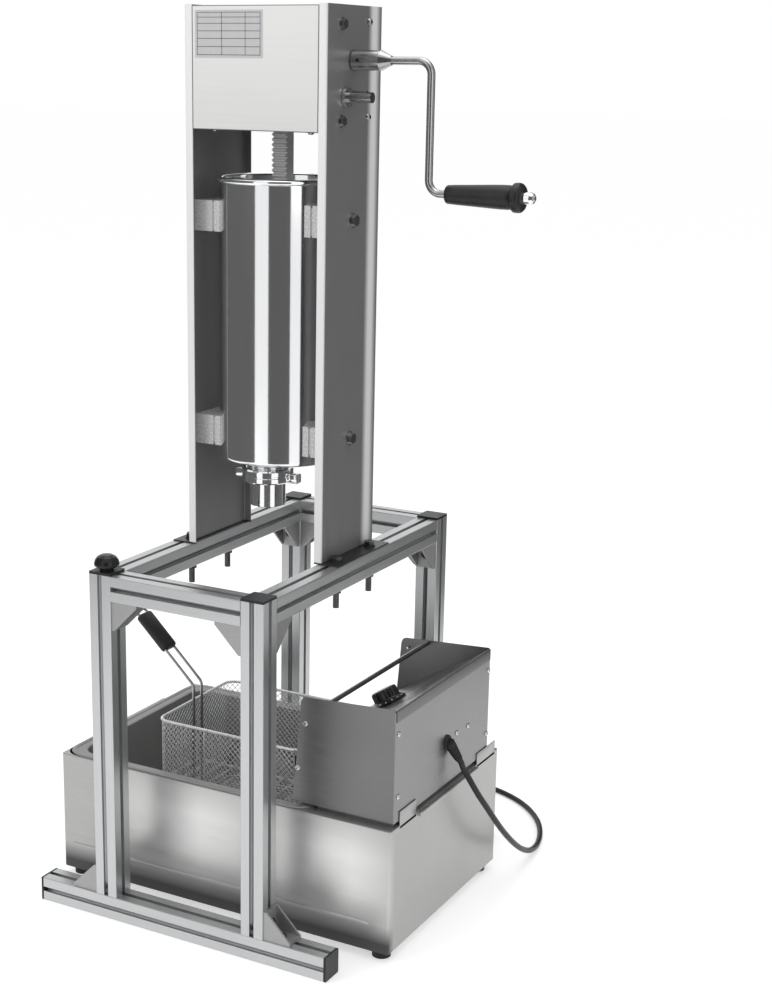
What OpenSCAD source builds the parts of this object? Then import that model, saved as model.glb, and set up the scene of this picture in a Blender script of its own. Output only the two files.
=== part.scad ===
// Churro maker: a crank-driven rack press on a slotted aluminium stand, which straddles
// a countertop deep fryer. Millimetres, +Z up, the floor at Z = 0, the front at -Y.
// X and Y are set out from the press axis and the middle of the stand.

/* [Stand] */
// Width of the square slotted profile
profile_w = 40; // [36:1:46]
// Width of the slots in the profile
slot_w = 8; // [6:0.5:10]
// Thickness of the lips beside a slot
slot_lip = 4.5; // [3:0.5:6]
// Width of the hollow behind the lips
slot_hollow_w = 18; // [15:0.5:19]
// Depth of the hollow behind the lips
slot_hollow_d = 7; // [5:0.5:8]
// Diameter of the bore along the middle of the profile
core_bore_d = 7; // [5:0.5:8]
// Corner radius of the profile
profile_r = 1.5; // [0.5:0.25:3]
// Distance between the legs across, centre to centre
leg_pitch_x = 276; // [272:1:290]
// Distance between the legs front to back, centre to centre
leg_pitch_y = 580; // [540:1:640]
// Height of the stand to the top of its rails
stand_h = 580; // [560:1:640]
// Length of a base rail without its caps
base_rail_l = 532; // [450:1:600]
// Thickness of the plastic end caps
cap_t = 4; // [2:0.5:6]
// Depth that a cap's spigot goes into the profile's bore
cap_spigot = 8; // [4:1:15]

/* [Corner brackets] */
// Length of each arm of a corner bracket
bracket_arm = 47; // [36:1:50]
// Width of a corner bracket
bracket_w = 35; // [30:1:36]
// Thickness of a bracket's arms
bracket_t = 5; // [3:0.5:6]
// Thickness of a bracket's side ribs
bracket_rib = 3.5; // [2:0.5:5]
// Distance from the corner to a bracket's screw
bracket_hole = 24; // [20:0.5:28]
// Diameter of the bracket screws
screw_d = 7.7; // [5:0.1:7.8]
// Diameter of the bracket screws' button heads
screw_head_d = 14; // [12:0.5:15]
// Height of the button heads
screw_head_h = 4.4; // [3:0.2:6]
// Thickness of a slot nut
nut_t = 4.5; // [3:0.5:4.8]
// Length of a slot nut along its slot
nut_l = 16; // [12:1:20]
// Width of a slot nut across its slot
nut_w = 13; // [10:0.5:14]

/* [Round knob] */
// Diameter of the round knob on the front left leg
round_knob_d = 40; // [25:1:48]
// Height of the round knob's dome above its collar
round_knob_h = 20; // [14:1:30]
// Diameter of the knob's collar
knob_collar_d = 22; // [14:1:30]
// Height of the knob's collar
knob_collar_h = 5; // [3:0.5:10]
// Length of the knob's stud below the cap
knob_stud_l = 22; // [10:1:40]

/* [Tower] */
// Thickness of the tower's sheet metal
sheet_t = 2; // [1.5:0.1:3]
// Width of the tower over its side plates
tower_w = 252; // [244:1:260]
// Depth of the tower's side plates, front to back
tower_d = 172; // [160:1:190]
// How far the middle of the tower stands behind the middle of the stand
tower_y = 4; // [0:1:10]
// Height of the side plates above the stand's rails
tower_h = 852; // [830:1:900]
// Width of the flanges on the front and rear edges
flange_w = 14; // [10:1:18]
// Outer radius of the bends
bend_r = 3.5; // [3:0.25:5]
// Width of the foot flange on a rail
foot_w = 30; // [26:1:34]
// Distance between the two foot bolts of a side
foot_bolt_pitch = 110; // [80:1:130]
// Diameter of the foot bolts
foot_bolt_d = 10; // [8:0.5:12]
// Length of a foot bolt under its head
foot_bolt_l = 77; // [70:1:90]

/* [Gearbox] */
// Height of the gearbox case's underside above the floor
case_z = 1248; // [1244:1:1250]
// Height of the gearbox case
case_h = 180; // [176:1:190]
// Thickness of the gearbox case's walls
case_wall = 3; // [2:0.25:3.5]
// Width of the lip that turns back along the cover's top and bottom
cover_lip = 16; // [12:1:24]
// Height of the pinion shaft above the floor
slow_z = 1298; // [1297:0.5:1302]
// Height of the crank shaft above the pinion shaft
shaft_rise = 54; // [50:0.5:57]
// Diameter of both shafts
shaft_d = 16; // [14:0.5:18]
// Width of a key
key_w = 5; // [4:0.5:6]
// How far a key stands out of its shaft
key_h = 2; // [1:0.25:2.5]
// Length that the pinion shaft stands out of the right plate
slow_stub = 46; // [40:1:60]
// Length that the crank shaft stands out of the right plate
fast_stub = 42; // [36:1:44]
// Module of the rack and its pinion
rack_module = 2.5; // [2:0.25:2.75]
// Number of teeth of the rack pinion
rack_pinion_teeth = 14; // [13:1:15]
// Face width of the rack pinion
rack_pinion_w = 24; // [18:1:26]
// Module of the two reduction gears
gear_module = 2; // [1.75:0.05:2.05]
// Number of teeth of the large gear
large_teeth = 44; // [40:1:45]
// Number of teeth of the small pinion
small_teeth = 15; // [14:1:16]
// Face width of the reduction gears
gear_w = 22; // [16:1:26]
// Distance from the press axis to the near face of the reduction gears
gear_x = 24; // [22:1:28]
// Pressure angle of all teeth
pressure_angle = 25; // [23:0.5:27]
// Play between two meshing flanks at the pitch line
backlash = 0.2; // [0.1:0.05:0.4]
// Thickness of the bearing plates
bearing_t = 8; // [6:1:10]
// Outer diameter of the bushes
bush_d = 22; // [20:0.5:26]
// Diameter of the bushes' flanges
bush_flange_d = 28; // [26:0.5:30]
// Diameter of the collar on the pinion shaft
collar_d = 29; // [24:0.5:34]
// Width of the collar on the pinion shaft
collar_w = 5; // [4:0.5:10]

/* [Rack and piston] */
// Side of the square rack bar
rack_w = 25; // [24:0.5:28]
// Length of the rack
rack_l = 667; // [665:1:668]
// Distance of the press axis behind the middle of the stand
press_y = 3; // [0:1:6]
// Width of the rack guides
guide_w = 32; // [30:1:34]
// Depth of the rack guides
guide_d = 60; // [44:1:60]
// Height of the rack guides
guide_h = 13; // [8:1:14]
// Play between the rack and a guide on each side
guide_play = 0.2; // [0.1:0.05:0.4]
// Thickness of the piston
piston_t = 25; // [15:1:35]
// Gap between the piston and the barrel's wall
piston_play = 1.5; // [0.5:0.25:3]
// Height of the piston's seal
seal_h = 8; // [5:0.5:10]
// Depth of the seal's groove in the piston
seal_groove = 4; // [2:0.5:6]
// Diameter of the bolt that holds the piston
piston_bolt_d = 10; // [6:0.5:12]

/* [Crank] */
// Diameter of the crank's hub
hub_d = 30; // [26:1:36]
// Length of the hub's straight part
hub_l = 46; // [44:1:60]
// Length of the hub's cone
hub_cone = 17; // [10:1:30]
// Diameter of the crank's round bar
crank_bar_d = 12; // [10:0.5:14]
// Distance from the press axis to the crank's downward arm
arm_x = 257; // [245:1:265]
// Length of the arm from the crank shaft to the grip's axis
arm_l = 192; // [160:1:240]
// Centre radius of the bar's bends
arm_bend_r = 20; // [14:1:26]
// Distance from the arm to the grip
grip_gap = 31; // [24:1:40]
// Length of the grip without its end flange
grip_l = 107; // [90:1:130]
// Diameter of the grip at its inner end
grip_d1 = 28; // [22:1:34]
// Diameter of the grip at its outer end
grip_d2 = 36; // [28:1:42]
// Diameter of the grip's end flange
grip_flange_d = 44; // [38:1:50]
// Length of the grip's end flange
grip_flange_l = 18; // [10:1:24]
// Diameter of the cap nut at the grip's end
grip_nut_d = 18; // [16:1:22]
// Length of the cap nut
grip_nut_l = 17; // [12:1:22]

/* [Barrel] */
// Outer diameter of the barrel
barrel_d = 198; // [190:1:204]
// Thickness of the barrel's wall
barrel_wall = 2; // [1.5:0.25:3]
// Height of the barrel's underside above the floor
barrel_z = 728; // [722:1:730]
// Height of the barrel
barrel_h = 447; // [420:1:450]
// Thickness of the barrel's bottom
barrel_floor = 3; // [2:0.5:5]
// Diameter of the barrel's rolled rim
rim_roll_d = 9; // [6:0.5:11]
// Play between the barrel and its brackets
saddle_play = 0.2; // [0.1:0.05:0.4]
// Height of the upper brackets above the floor
upper_bracket_z = 1113; // [1080:1:1120]
// Height of the lower brackets above the floor
lower_bracket_z = 770; // [760:1:800]
// Height of a bracket block
block_h = 48; // [36:1:56]
// Depth of a bracket block, front to back
block_d = 126; // [100:1:130]
// Thickness of the block that is bolted to the plate
block_t = 33; // [30:1:35]
// Width of the gap line between block and saddle
block_line = 4; // [2:0.5:6]
// Distance from the press axis to the tips of the saddles
saddle_x = 76; // [72:1:82]
// Diameter of the bracket bolts
block_bolt_d = 10; // [8:0.5:12]

/* [Outlet] */
// How far the outlet stands in front of the press axis
outlet_offset = 41; // [30:1:48]
// Outer diameter of the outlet's threaded spout
spout_d = 68; // [60:1:72]
// Diameter of the bore through the spout
spout_bore_d = 56; // [50:1:58]
// Length of the spout below the barrel
spout_l = 24; // [20:1:30]
// Outer diameter of the ring nut
ring_nut_d = 84; // [80:1:96]
// Height of the ring nut
ring_nut_h = 22; // [18:1:26]
// Distance from the nut's axis to the tips of its lugs
lug_r = 59; // [54:1:66]
// Width of a lug
lug_w = 16; // [10:1:24]
// Outer diameter of the nozzle tube
nozzle_d = 58; // [50:1:59]
// Thickness of the nozzle tube's wall
nozzle_wall = 2; // [1.5:0.25:3]
// Length of the nozzle tube below its flange
nozzle_l = 46; // [30:1:70]
// Thickness of the nozzle's flange
nozzle_flange_t = 3; // [2:0.5:4]
// Thickness of the star die
die_t = 4; // [3:0.5:8]
// Outer radius of the star in the die
star_r = 9; // [6:0.5:14]
// Number of points of the star
star_points = 8; // [5:1:10]

/* [Fryer body] */
// Length of the fryer's body
fryer_l = 623; // [600:1:635]
// Depth of the fryer's body, front to back
fryer_d = 398; // [390:1:410]
// Distance from the press axis to the fryer's left face
fryer_left = 298; // [290:1:305]
// How far the middle of the fryer stands in front of the middle of the stand
fryer_y = 13; // [5:1:20]
// Height of the fryer's feet
fryer_foot_h = 14; // [10:1:20]
// Diameter of the fryer's feet
fryer_foot_d = 30; // [20:1:40]
// Height of the fryer's body above its feet
fryer_h = 206; // [200:1:210]
// Thickness of the fryer's sheet
fryer_t = 1.5; // [1:0.25:2]
// Corner radius of the fryer's body
fryer_r = 4; // [2:0.5:12]
// How far the hand lips stand out at the fryer's ends
lip_out = 6; // [4:0.5:12]
// Length of the hand lips
lip_l = 214; // [150:1:260]

/* [Oil tank] */
// Length of the tank's inside
tank_l = 433; // [425:1:440]
// Width of the tank's flange at its front, rear and left
tank_side = 22; // [18:1:30]
// Corner radius of the tank's inside
tank_r = 25; // [15:1:40]
// Height of the tank's inner floor above the floor
tank_floor_z = 50; // [30:1:55]
// Thickness of the tank's sheet
tank_t = 1.2; // [0.8:0.1:2]
// Length of the tank's top flange
tank_flange_l = 475; // [470:1:480]
// How far the flange stays inside the body's front and rear
tank_inset = 1; // [0.5:0.5:4]
// Corner radius of the tank's top flange
tank_flange_r = 35; // [20:1:45]
// Height of the rolled bead round the flange
tank_bead_h = 3; // [2:0.25:4]
// Width of the rolled bead round the flange
tank_bead_w = 8; // [5:0.5:10]

/* [Heating elements] */
// Diameter of a heating tube
element_d = 8; // [6:0.5:9]
// Number of heating loops
element_count = 3; // [1:1:3]
// Bend radius of the innermost loop
element_r = 30; // [26:1:34]
// Distance from one loop to the next
element_step = 40; // [24:1:42]
// Height of the heating tubes above the tank's floor
element_rise = 25; // [20:1:28]
// Diameter of the guard's wires
guard_wire_d = 5; // [4:0.5:6]
// Height of the guard's top above the tank's floor
guard_h = 44.7; // [42:0.1:50]
// Distance between the guard's wires
guard_pitch = 26; // [18:1:40]

/* [Control head] */
// Distance from the press axis to the head's front wall
head_x = 146; // [144:1:147]
// Height of the head's underside above the floor
head_z = 228; // [226:1:230]
// Height of the head's cheeks
head_h = 184; // [176:1:190]
// How much lower the cheeks are at their front
cheek_drop = 9; // [0:0.5:14]
// Depth of the head over its cheeks
head_d = 341; // [330:1:350]
// How far the middle of the head stands in front of the middle of the stand
head_y = 27.5; // [24:0.5:31]
// Thickness of the head's sheet
head_t = 1.5; // [1:0.25:2]
// Height of the head's front wall
head_front_h = 75; // [70:1:90]
// Angle of the control panel from level
panel_angle = 31.4; // [29:0.1:32]
// Length of the panel's rear flange
panel_flange = 20; // [12:1:30]
// Diameter of the basket's hanger bar
hanger_d = 8; // [6:0.5:10]
// Distance from the press axis to the hanger bar
hanger_x = 208; // [200:1:220]
// Height of the hanger bar above the floor
hanger_z = 401; // [396:1:405]

/* [Temperature knob] */
// Distance from the press axis to the knob's base
dial_x = 225; // [205:1:250]
// Distance of the knob in front of the middle of the stand
dial_y = 29; // [0:1:60]
// Diameter of the knob's skirt
dial_skirt_d = 60; // [50:1:66]
// Diameter of the knob's fluted grip
dial_grip_d = 44; // [34:1:48]
// Height of the knob above the panel
dial_h = 25; // [20:1:34]
// Number of flutes in the knob
dial_flutes = 16; // [10:2:24]
// Diameter of the knob's spindle
spindle_d = 6; // [5:0.5:8]
// Diameter of the thermostat's housing
thermostat_d = 34; // [24:1:40]
// Depth of the thermostat's housing
thermostat_h = 28; // [20:1:32]

/* [Basket] */
// Length of the basket
basket_l = 283; // [260:1:290]
// Depth of the basket, front to back
basket_d = 233; // [200:1:250]
// Height of the basket
basket_h = 185; // [150:1:190]
// Distance from the press axis to the basket's left side
basket_left = 165; // [160:1:175]
// How far the middle of the basket stands in front of the middle of the stand
basket_y = 11.5; // [8:0.5:16]
// Diameter of the basket's rim wire
rim_wire_d = 5; // [4:0.5:6]
// Corner radius of the basket's rim, to the middle of its wire
basket_r = 20; // [14:1:30]
// Thickness of the basket's mesh
mesh_t = 1.6; // [1.2:0.1:2.5]
// Width across a mesh opening, corner to corner
mesh_pitch = 48; // [36:1:60]
// Width of the strands between the openings
mesh_strand = 2.4; // [1.6:0.2:4]
// Diameter of the handle's wires
handle_wire_d = 5; // [4:0.5:6]
// Distance between the handle's two wires
handle_gap = 22; // [20:1:24]
// Height above the floor at which the handle bends
handle_bend_z = 307; // [300:1:330]
// Angle of the handle from level
handle_angle = 43.7; // [38:0.5:50]
// Distance from the handle's bend to its grip
handle_reach = 78; // [60:1:90]
// Length of the basket's grip
hgrip_l = 78; // [60:1:100]
// Width of the basket's grip
hgrip_w = 33; // [32:1:40]
// Thickness of the basket's grip
hgrip_t = 14; // [10:1:20]

/* [Mains lead] */
// Diameter of the lead
lead_d = 10; // [8:0.5:10]
// Length of the tapered strain relief
relief_l = 38; // [25:1:50]
// Diameter of the strain relief's wide end
relief_d = 19; // [16:1:24]
// Turns in each layer of the coil
coil_turns = 1.5; // [1.5:1:2.5]
// Distance from one turn to the next
coil_pitch = 10.8; // [10.6:0.1:12]
// Diameter of the coil's outermost turn, to the middle of the lead
coil_d = 128; // [120:1:140]
// Length of the plug's body
plug_l = 34; // [28:1:44]

/* [Hidden] */

$fn = 48;

// Running clearance of shafts in bushes and of threads, on the radius
run_fit = 0.03;
thread_fit = 0.08;
// Gap left between pieces that are only slipped over each other, and at a hair-thin joint
slip = 0.3;
seam = 0.1;

half_profile = profile_w / 2;
leg_x = leg_pitch_x / 2;
leg_y = leg_pitch_y / 2;
side_rail_len = leg_pitch_y - profile_w;
cross_rail_len = leg_pitch_x - profile_w;

tower_half = tower_w / 2;
plate_in = tower_half - sheet_t;
tower_front = tower_y - tower_d / 2;
tower_back = tower_y + tower_d / 2;
tower_top = stand_h + tower_h;
foot_bolt_x = leg_x;
flange_in = tower_half - flange_w;

case_front = tower_front + sheet_t;
case_back = tower_back - sheet_t;
case_top = case_z + case_h;

rack_pitch_r = rack_module * rack_pinion_teeth / 2;
rack_pitch = PI * rack_module;
rack_front = press_y - rack_w / 2;
slow_y = rack_front + rack_module - rack_pitch_r;
centre_distance = gear_module * (large_teeth + small_teeth) / 2;
shaft_step_y = sqrt(centre_distance * centre_distance - shaft_rise * shaft_rise);
fast_y = slow_y + shaft_step_y;
fast_z = slow_z + shaft_rise;
mesh_angle = atan2(shaft_rise, shaft_step_y);
shaft_r = shaft_d / 2;
key_top = shaft_r + key_h;
left_bearing_x = rack_pinion_w / 2 + 6 + bearing_t;
right_bearing_x = gear_x + gear_w + 8;

barrel_r = barrel_d / 2;
barrel_in = barrel_r - barrel_wall;
barrel_top = barrel_z + barrel_h;
piston_z = barrel_z + barrel_floor + 1;
piston_r = barrel_in - piston_play;
rack_z = piston_z + piston_t;
outlet_y = press_y - outlet_offset;
spout_z = barrel_z - spout_l;
flange_z = spout_z - slip - nozzle_flange_t;
nozzle_z = flange_z - nozzle_l;
ring_nut_z = flange_z - slip - 6;

hub_x = tower_half + 2;
hub_end = hub_x + hub_l;
cone_end = hub_end + hub_cone;
grip_x = arm_x + grip_gap;
grip_end = grip_x + grip_l + grip_flange_l;
crank_end = grip_end + slip + grip_nut_l;
grip_z = fast_z - arm_l;

fryer_x0 = -fryer_left;
fryer_x1 = fryer_l - fryer_left;
fryer_y0 = -fryer_y - fryer_d / 2;
fryer_y1 = -fryer_y + fryer_d / 2;
fryer_top = fryer_foot_h + fryer_h;
tank_flange_x0 = fryer_x0 + 3;
tank_x0 = tank_flange_x0 + tank_side;
tank_x1 = tank_x0 + tank_l;
tank_y0 = fryer_y0 + tank_inset + tank_side;
tank_y1 = fryer_y1 - tank_inset - tank_side;
tank_flange_x1 = tank_flange_x0 + tank_flange_l;
element_z = tank_floor_z + element_rise;
element_x = head_x + 7;
guard_top = tank_floor_z + guard_h;

head_y0 = -head_y - head_d / 2;
head_y1 = -head_y + head_d / 2;
head_x1 = fryer_x1 - 2;
head_front_top = head_z + head_front_h;
panel_slope = tan(panel_angle);
function panel_z(x) = head_front_top + (x - head_x) * panel_slope;
panel_drop = head_t / cos(panel_angle);
dial_z = panel_z(dial_x);

basket_x0 = -basket_left;
basket_x1 = basket_l - basket_left;
basket_y0 = -basket_y - basket_d / 2;
basket_y1 = -basket_y + basket_d / 2;
basket_z0 = guard_top + slip;
basket_top = basket_z0 + basket_h;
rim_mid = rim_wire_d / 2;
handle_x = basket_x0 + rim_wire_d + handle_wire_d / 2 + slip;
handle_y1 = -basket_y - handle_gap / 2 - handle_wire_d / 4;
handle_y2 = -basket_y + handle_gap / 2 + handle_wire_d / 4;
handle_bend_r = 14;

// The press axis is moved so that X = 0 is the middle of the whole machine
layout_mid_x = (crank_end + fryer_x0 - lip_out) / 2;

steel = "gainsboro";
bright = "whitesmoke";
alu = "lightgray";
cast = "darkgray";
dark = "dimgray";
black = "black";

module set_out() translate([-layout_mid_x, 0, 0]) children();

module block(x0, x1, y0, y1, z0, z1) {
    translate([x0, y0, z0]) cube([x1 - x0, y1 - y0, z1 - z0]);
}
module rod_x(x0, x1, y, z, d) {
    translate([x0, y, z]) rotate([0, 90, 0]) cylinder(d = d, h = x1 - x0);
}
module rod_y(x, y0, y1, z, d) {
    translate([x, y0, z]) rotate([-90, 0, 0]) cylinder(d = d, h = y1 - y0);
}
module rod_z(x, y, z0, z1, d) {
    translate([x, y, z0]) cylinder(d = d, h = z1 - z0);
}
module mirror_x() {
    children();
    mirror([1, 0, 0]) children();
}

// A rectangle with round corners, by its limits
module round_rect(x0, x1, y0, y1, r) {
    translate([x0 + r, y0]) square([x1 - x0 - 2 * r, y1 - y0]);
    translate([x0, y0 + r]) square([x1 - x0, y1 - y0 - 2 * r]);
    for (x = [x0 + r, x1 - r], y = [y0 + r, y1 - r])
        translate([x, y]) circle(r = r);
}
module round_block(x0, x1, y0, y1, z0, z1, r) {
    translate([0, 0, z0]) linear_extrude(z1 - z0) round_rect(x0, x1, y0, y1, r);
}

module slot_2d() {
    neck = half_profile - slot_lip;
    foot = neck - slot_hollow_d;
    translate([neck - 0.5, -slot_w / 2]) square([slot_lip + 1, slot_w]);
    polygon([[neck, -slot_hollow_w / 2], [neck, slot_hollow_w / 2],
        [neck - slot_hollow_d * 0.35, slot_hollow_w / 2], [foot, slot_w / 2],
        [foot, -slot_w / 2], [neck - slot_hollow_d * 0.35, -slot_hollow_w / 2]]);
}
module profile_2d() {
    difference() {
        round_rect(-half_profile, half_profile, -half_profile, half_profile, profile_r);
        for (a = [0:90:270]) rotate(a) slot_2d();
        circle(d = core_bore_d);
    }
}
module profile_z(l) linear_extrude(l) profile_2d();
module profile_x(l) rotate([90, 0, 90]) linear_extrude(l) profile_2d();
module profile_y(l) rotate([-90, 0, 0]) linear_extrude(l) profile_2d();

module leg(x, y) translate([x, y, profile_w]) profile_z(stand_h - profile_w);

module base_rails() set_out() color(alu)
    for (y = [-leg_y, leg_y])
        translate([-base_rail_l / 2, y, half_profile]) profile_x(base_rail_l);

module front_legs() set_out() color(alu)
    for (x = [-leg_x, leg_x]) leg(x, -leg_y);

module rear_legs() set_out() color(alu)
    for (x = [-leg_x, leg_x]) leg(x, leg_y);

module side_rail(x) {
    difference() {
        translate([x, -side_rail_len / 2, stand_h - half_profile]) profile_y(side_rail_len);
        for (y = foot_bolt_ys())
            rod_z(x, y, stand_h - profile_w - 1, stand_h + 1, foot_bolt_d + 0.6);
    }
}
function foot_bolt_ys() = [-foot_bolt_pitch / 2, foot_bolt_pitch / 2];

module side_rail_left() set_out() color(alu) side_rail(-leg_x);
module side_rail_right() set_out() color(alu) side_rail(leg_x);

module cross_rails() set_out() color(alu)
    for (y = [-leg_y, leg_y])
        translate([-cross_rail_len / 2, y, stand_h - half_profile]) profile_x(cross_rail_len);

// A cap: a square plate with a round spigot that enters the profile's bore
module cap(with_hole) {
    difference() {
        union() {
            linear_extrude(cap_t)
                round_rect(-half_profile, half_profile, -half_profile, half_profile, profile_r);
            if (!with_hole)
                translate([0, 0, -cap_spigot]) cylinder(d = core_bore_d - 0.2, h = cap_spigot + 1);
        }
        if (with_hole)
            translate([0, 0, -1]) cylinder(d = core_bore_d, h = cap_t + 2);
    }
}
module end_caps() set_out() color(black) {
    for (x = [-leg_x, leg_x], y = [-leg_y, leg_y])
        translate([x, y, stand_h]) cap(x < 0 && y < 0);
    for (y = [-leg_y, leg_y]) {
        translate([base_rail_l / 2, y, half_profile]) rotate([0, 90, 0]) cap(false);
        translate([-base_rail_l / 2, y, half_profile]) rotate([0, -90, 0]) cap(false);
    }
}

// Corner bracket with its arms along +X and +Z and its screws' seats on them
module corner_bracket() {
    difference() {
        union() {
            translate([0, -bracket_w / 2, 0]) cube([bracket_arm, bracket_w, bracket_t]);
            translate([0, -bracket_w / 2, 0]) cube([bracket_t, bracket_w, bracket_arm]);
            for (y = [-bracket_w / 2, bracket_w / 2 - bracket_rib])
                translate([0, y + bracket_rib, 0]) rotate([90, 0, 0]) linear_extrude(bracket_rib)
                    polygon([[0, 0], [bracket_arm, 0], [bracket_arm, bracket_t],
                        [bracket_t, bracket_arm], [0, bracket_arm]]);
        }
        translate([bracket_hole, 0, -1]) cylinder(d = screw_d + 0.8, h = bracket_t + 2);
        translate([-1, 0, bracket_hole]) rotate([0, 90, 0])
            cylinder(d = screw_d + 0.8, h = bracket_t + 2);
    }
}
module at_both_arms() {
    translate([bracket_hole, 0, 0]) children();
    translate([0, 0, bracket_hole]) rotate([0, 90, 0]) children();
}
module at_corners() {
    for (y = [-leg_y, leg_y]) {
        translate([-leg_x + half_profile, y, stand_h - profile_w]) rotate([180, 0, 0]) children();
        translate([leg_x - half_profile, y, stand_h - profile_w]) rotate([0, 180, 0]) children();
        translate([-leg_x - half_profile, y, profile_w]) rotate([0, 0, 180]) children();
        translate([leg_x + half_profile, y, profile_w]) children();
    }
    for (x = [-leg_x, leg_x]) {
        translate([x, -leg_y + half_profile, stand_h - profile_w])
            rotate([0, 0, 90]) rotate([180, 0, 0]) children();
        translate([x, leg_y - half_profile, stand_h - profile_w])
            rotate([0, 0, -90]) rotate([180, 0, 0]) children();
    }
}
// Button-head screw, its seat at Z = 0 and its shank downward
module button_screw(d, l, head_d, head_h) {
    difference() {
        union() {
            translate([0, 0, -l]) cylinder(d = d, h = l + 0.5);
            rotate_extrude() polygon([[0, 0], [head_d / 2, 0], [head_d / 2, head_h * 0.25],
                [head_d * 0.42, head_h * 0.7], [head_d * 0.28, head_h], [0, head_h]]);
        }
        translate([0, 0, head_h * 0.45]) cylinder(d = head_d * 0.4, h = head_h, $fn = 6);
    }
}
module bracket_screw() {
    translate([0, 0, bracket_t])
        button_screw(screw_d, bracket_t + slot_lip + nut_t + 0.5, screw_head_d, screw_head_h);
}
module corner_brackets() set_out() color(cast) at_corners() corner_bracket();

module bracket_screws() set_out() color(dark) {
    at_corners() at_both_arms() bracket_screw();
    // Anchor screws in the outer slots at the feet of the legs
    for (x = [-leg_x, leg_x]) {
        rod_y(x, -leg_y - half_profile + 2, -leg_y - anchor_seat(), profile_w + 8, slot_w - 0.6);
        rod_y(x, leg_y + anchor_seat(), leg_y + half_profile - 2, profile_w + 8, slot_w - 0.6);
    }
}
function anchor_seat() = half_profile - slot_lip - slot_hollow_d;

module slot_nut() {
    difference() {
        translate([-nut_l / 2, -nut_w / 2, -slot_lip - nut_t]) cube([nut_l, nut_w, nut_t]);
        translate([0, 0, -slot_lip - nut_t - 1])
            cylinder(d = screw_d + 2 * thread_fit, h = nut_t + 2);
    }
}
module slot_nuts() set_out() color(steel) at_corners() {
    translate([bracket_hole, 0, 0]) slot_nut();
    translate([0, 0, bracket_hole]) rotate([0, 90, 0]) slot_nut();
}

module round_knob() set_out() color(black)
    translate([-leg_x, -leg_y, stand_h + cap_t]) {
        r = round_knob_d / 2;
        rotate_extrude() polygon([[0, 0], [knob_collar_d / 2, 0],
            [knob_collar_d / 2, knob_collar_h], [r * 0.8, knob_collar_h],
            [r * 0.97, knob_collar_h + round_knob_h * 0.1],
            [r, knob_collar_h + round_knob_h * 0.25],
            [r * 0.93, knob_collar_h + round_knob_h * 0.55],
            [r * 0.75, knob_collar_h + round_knob_h * 0.8],
            [r * 0.45, knob_collar_h + round_knob_h * 0.96], [0, knob_collar_h + round_knob_h]]);
        translate([0, 0, -cap_t - knob_stud_l])
            cylinder(d = core_bore_d - 0.2, h = cap_t + knob_stud_l + 1);
    }

// Side plate of the tower, drawn for the right side
module side_plate_blank() {
    intersection() {
        translate([0, 0, stand_h]) linear_extrude(tower_h) difference() {
            round_rect(0, tower_half, tower_front, tower_back, bend_r);
            round_rect(-1, plate_in, case_front, case_back, bend_r - sheet_t);
        }
        block(flange_in, tower_half + 1, tower_front - 1, tower_back + 1, stand_h, tower_top);
    }
    block(plate_in, tower_half + foot_w, tower_front, tower_back, stand_h, stand_h + sheet_t);
}
// Holes that both side plates have, and the case walls share
module side_holes() {
    for (z = [upper_bracket_z, lower_bracket_z])
        rod_x(plate_in - 1, tower_half + 1, press_y, z, block_bolt_d + 0.6);
    for (z = front_bolt_zs())
        rod_x(plate_in - case_wall - 1, tower_half + 1, front_bolt_y, z, 8.6);
    for (z = rear_bolt_zs())
        rod_x(plate_in - case_wall - 1, tower_half + 1, rear_bolt_y, z, 6.6);
}
function front_bolt_zs() = [case_z + 15, case_top - 24];
function rear_bolt_zs() = [case_z + 20, case_top - 19];
front_bolt_y = tower_front + 44;
rear_bolt_y = tower_back - 44;

module foot_holes() {
    for (y = foot_bolt_ys())
        rod_z(foot_bolt_x, y, stand_h - 1, stand_h + sheet_t + 1, foot_bolt_d + 0.6);
}
module wall_bush_holes() {
    rod_x(plate_in - case_wall - 1, tower_half + 1, slow_y, slow_z, bush_d + 0.2);
    rod_x(plate_in - case_wall - 1, tower_half + 1, fast_y, fast_z, bush_d + 0.2);
}
module side_plate_left() set_out() color(alu) mirror([1, 0, 0]) difference() {
    side_plate_blank();
    side_holes();
    foot_holes();
}
module side_plate_right() set_out() color(alu) difference() {
    side_plate_blank();
    side_holes();
    foot_holes();
    wall_bush_holes();
}

// Hexagon bolt with a washer, its seat at Z = 0 and its shank downward
module hex_bolt(d, l, washer_d, washer_t) {
    translate([0, 0, -l]) cylinder(d = d, h = l + 0.5);
    cylinder(d = washer_d, h = washer_t);
    translate([0, 0, washer_t]) cylinder(d = d * 1.85, h = d * 0.62, $fn = 6);
}
// Nut with a washer, its seat at Z = 0 and its body downward
module hex_nut(d, washer_d, washer_t, play) {
    difference() {
        union() {
            translate([0, 0, -washer_t]) cylinder(d = washer_d, h = washer_t);
            translate([0, 0, -washer_t - d * 0.8]) cylinder(d = d * 1.85, h = d * 0.8, $fn = 6);
        }
        translate([0, 0, -washer_t - d]) cylinder(d = d + play, h = washer_t + 2 * d);
    }
}
module foot_bolts() set_out() color(dark)
    for (x = [-foot_bolt_x, foot_bolt_x], y = foot_bolt_ys()) {
        translate([x, y, stand_h + sheet_t]) hex_bolt(foot_bolt_d, foot_bolt_l, 20, 2);
        translate([x, y, stand_h - profile_w]) hex_nut(foot_bolt_d, 20, 2, 0);
    }

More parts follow.
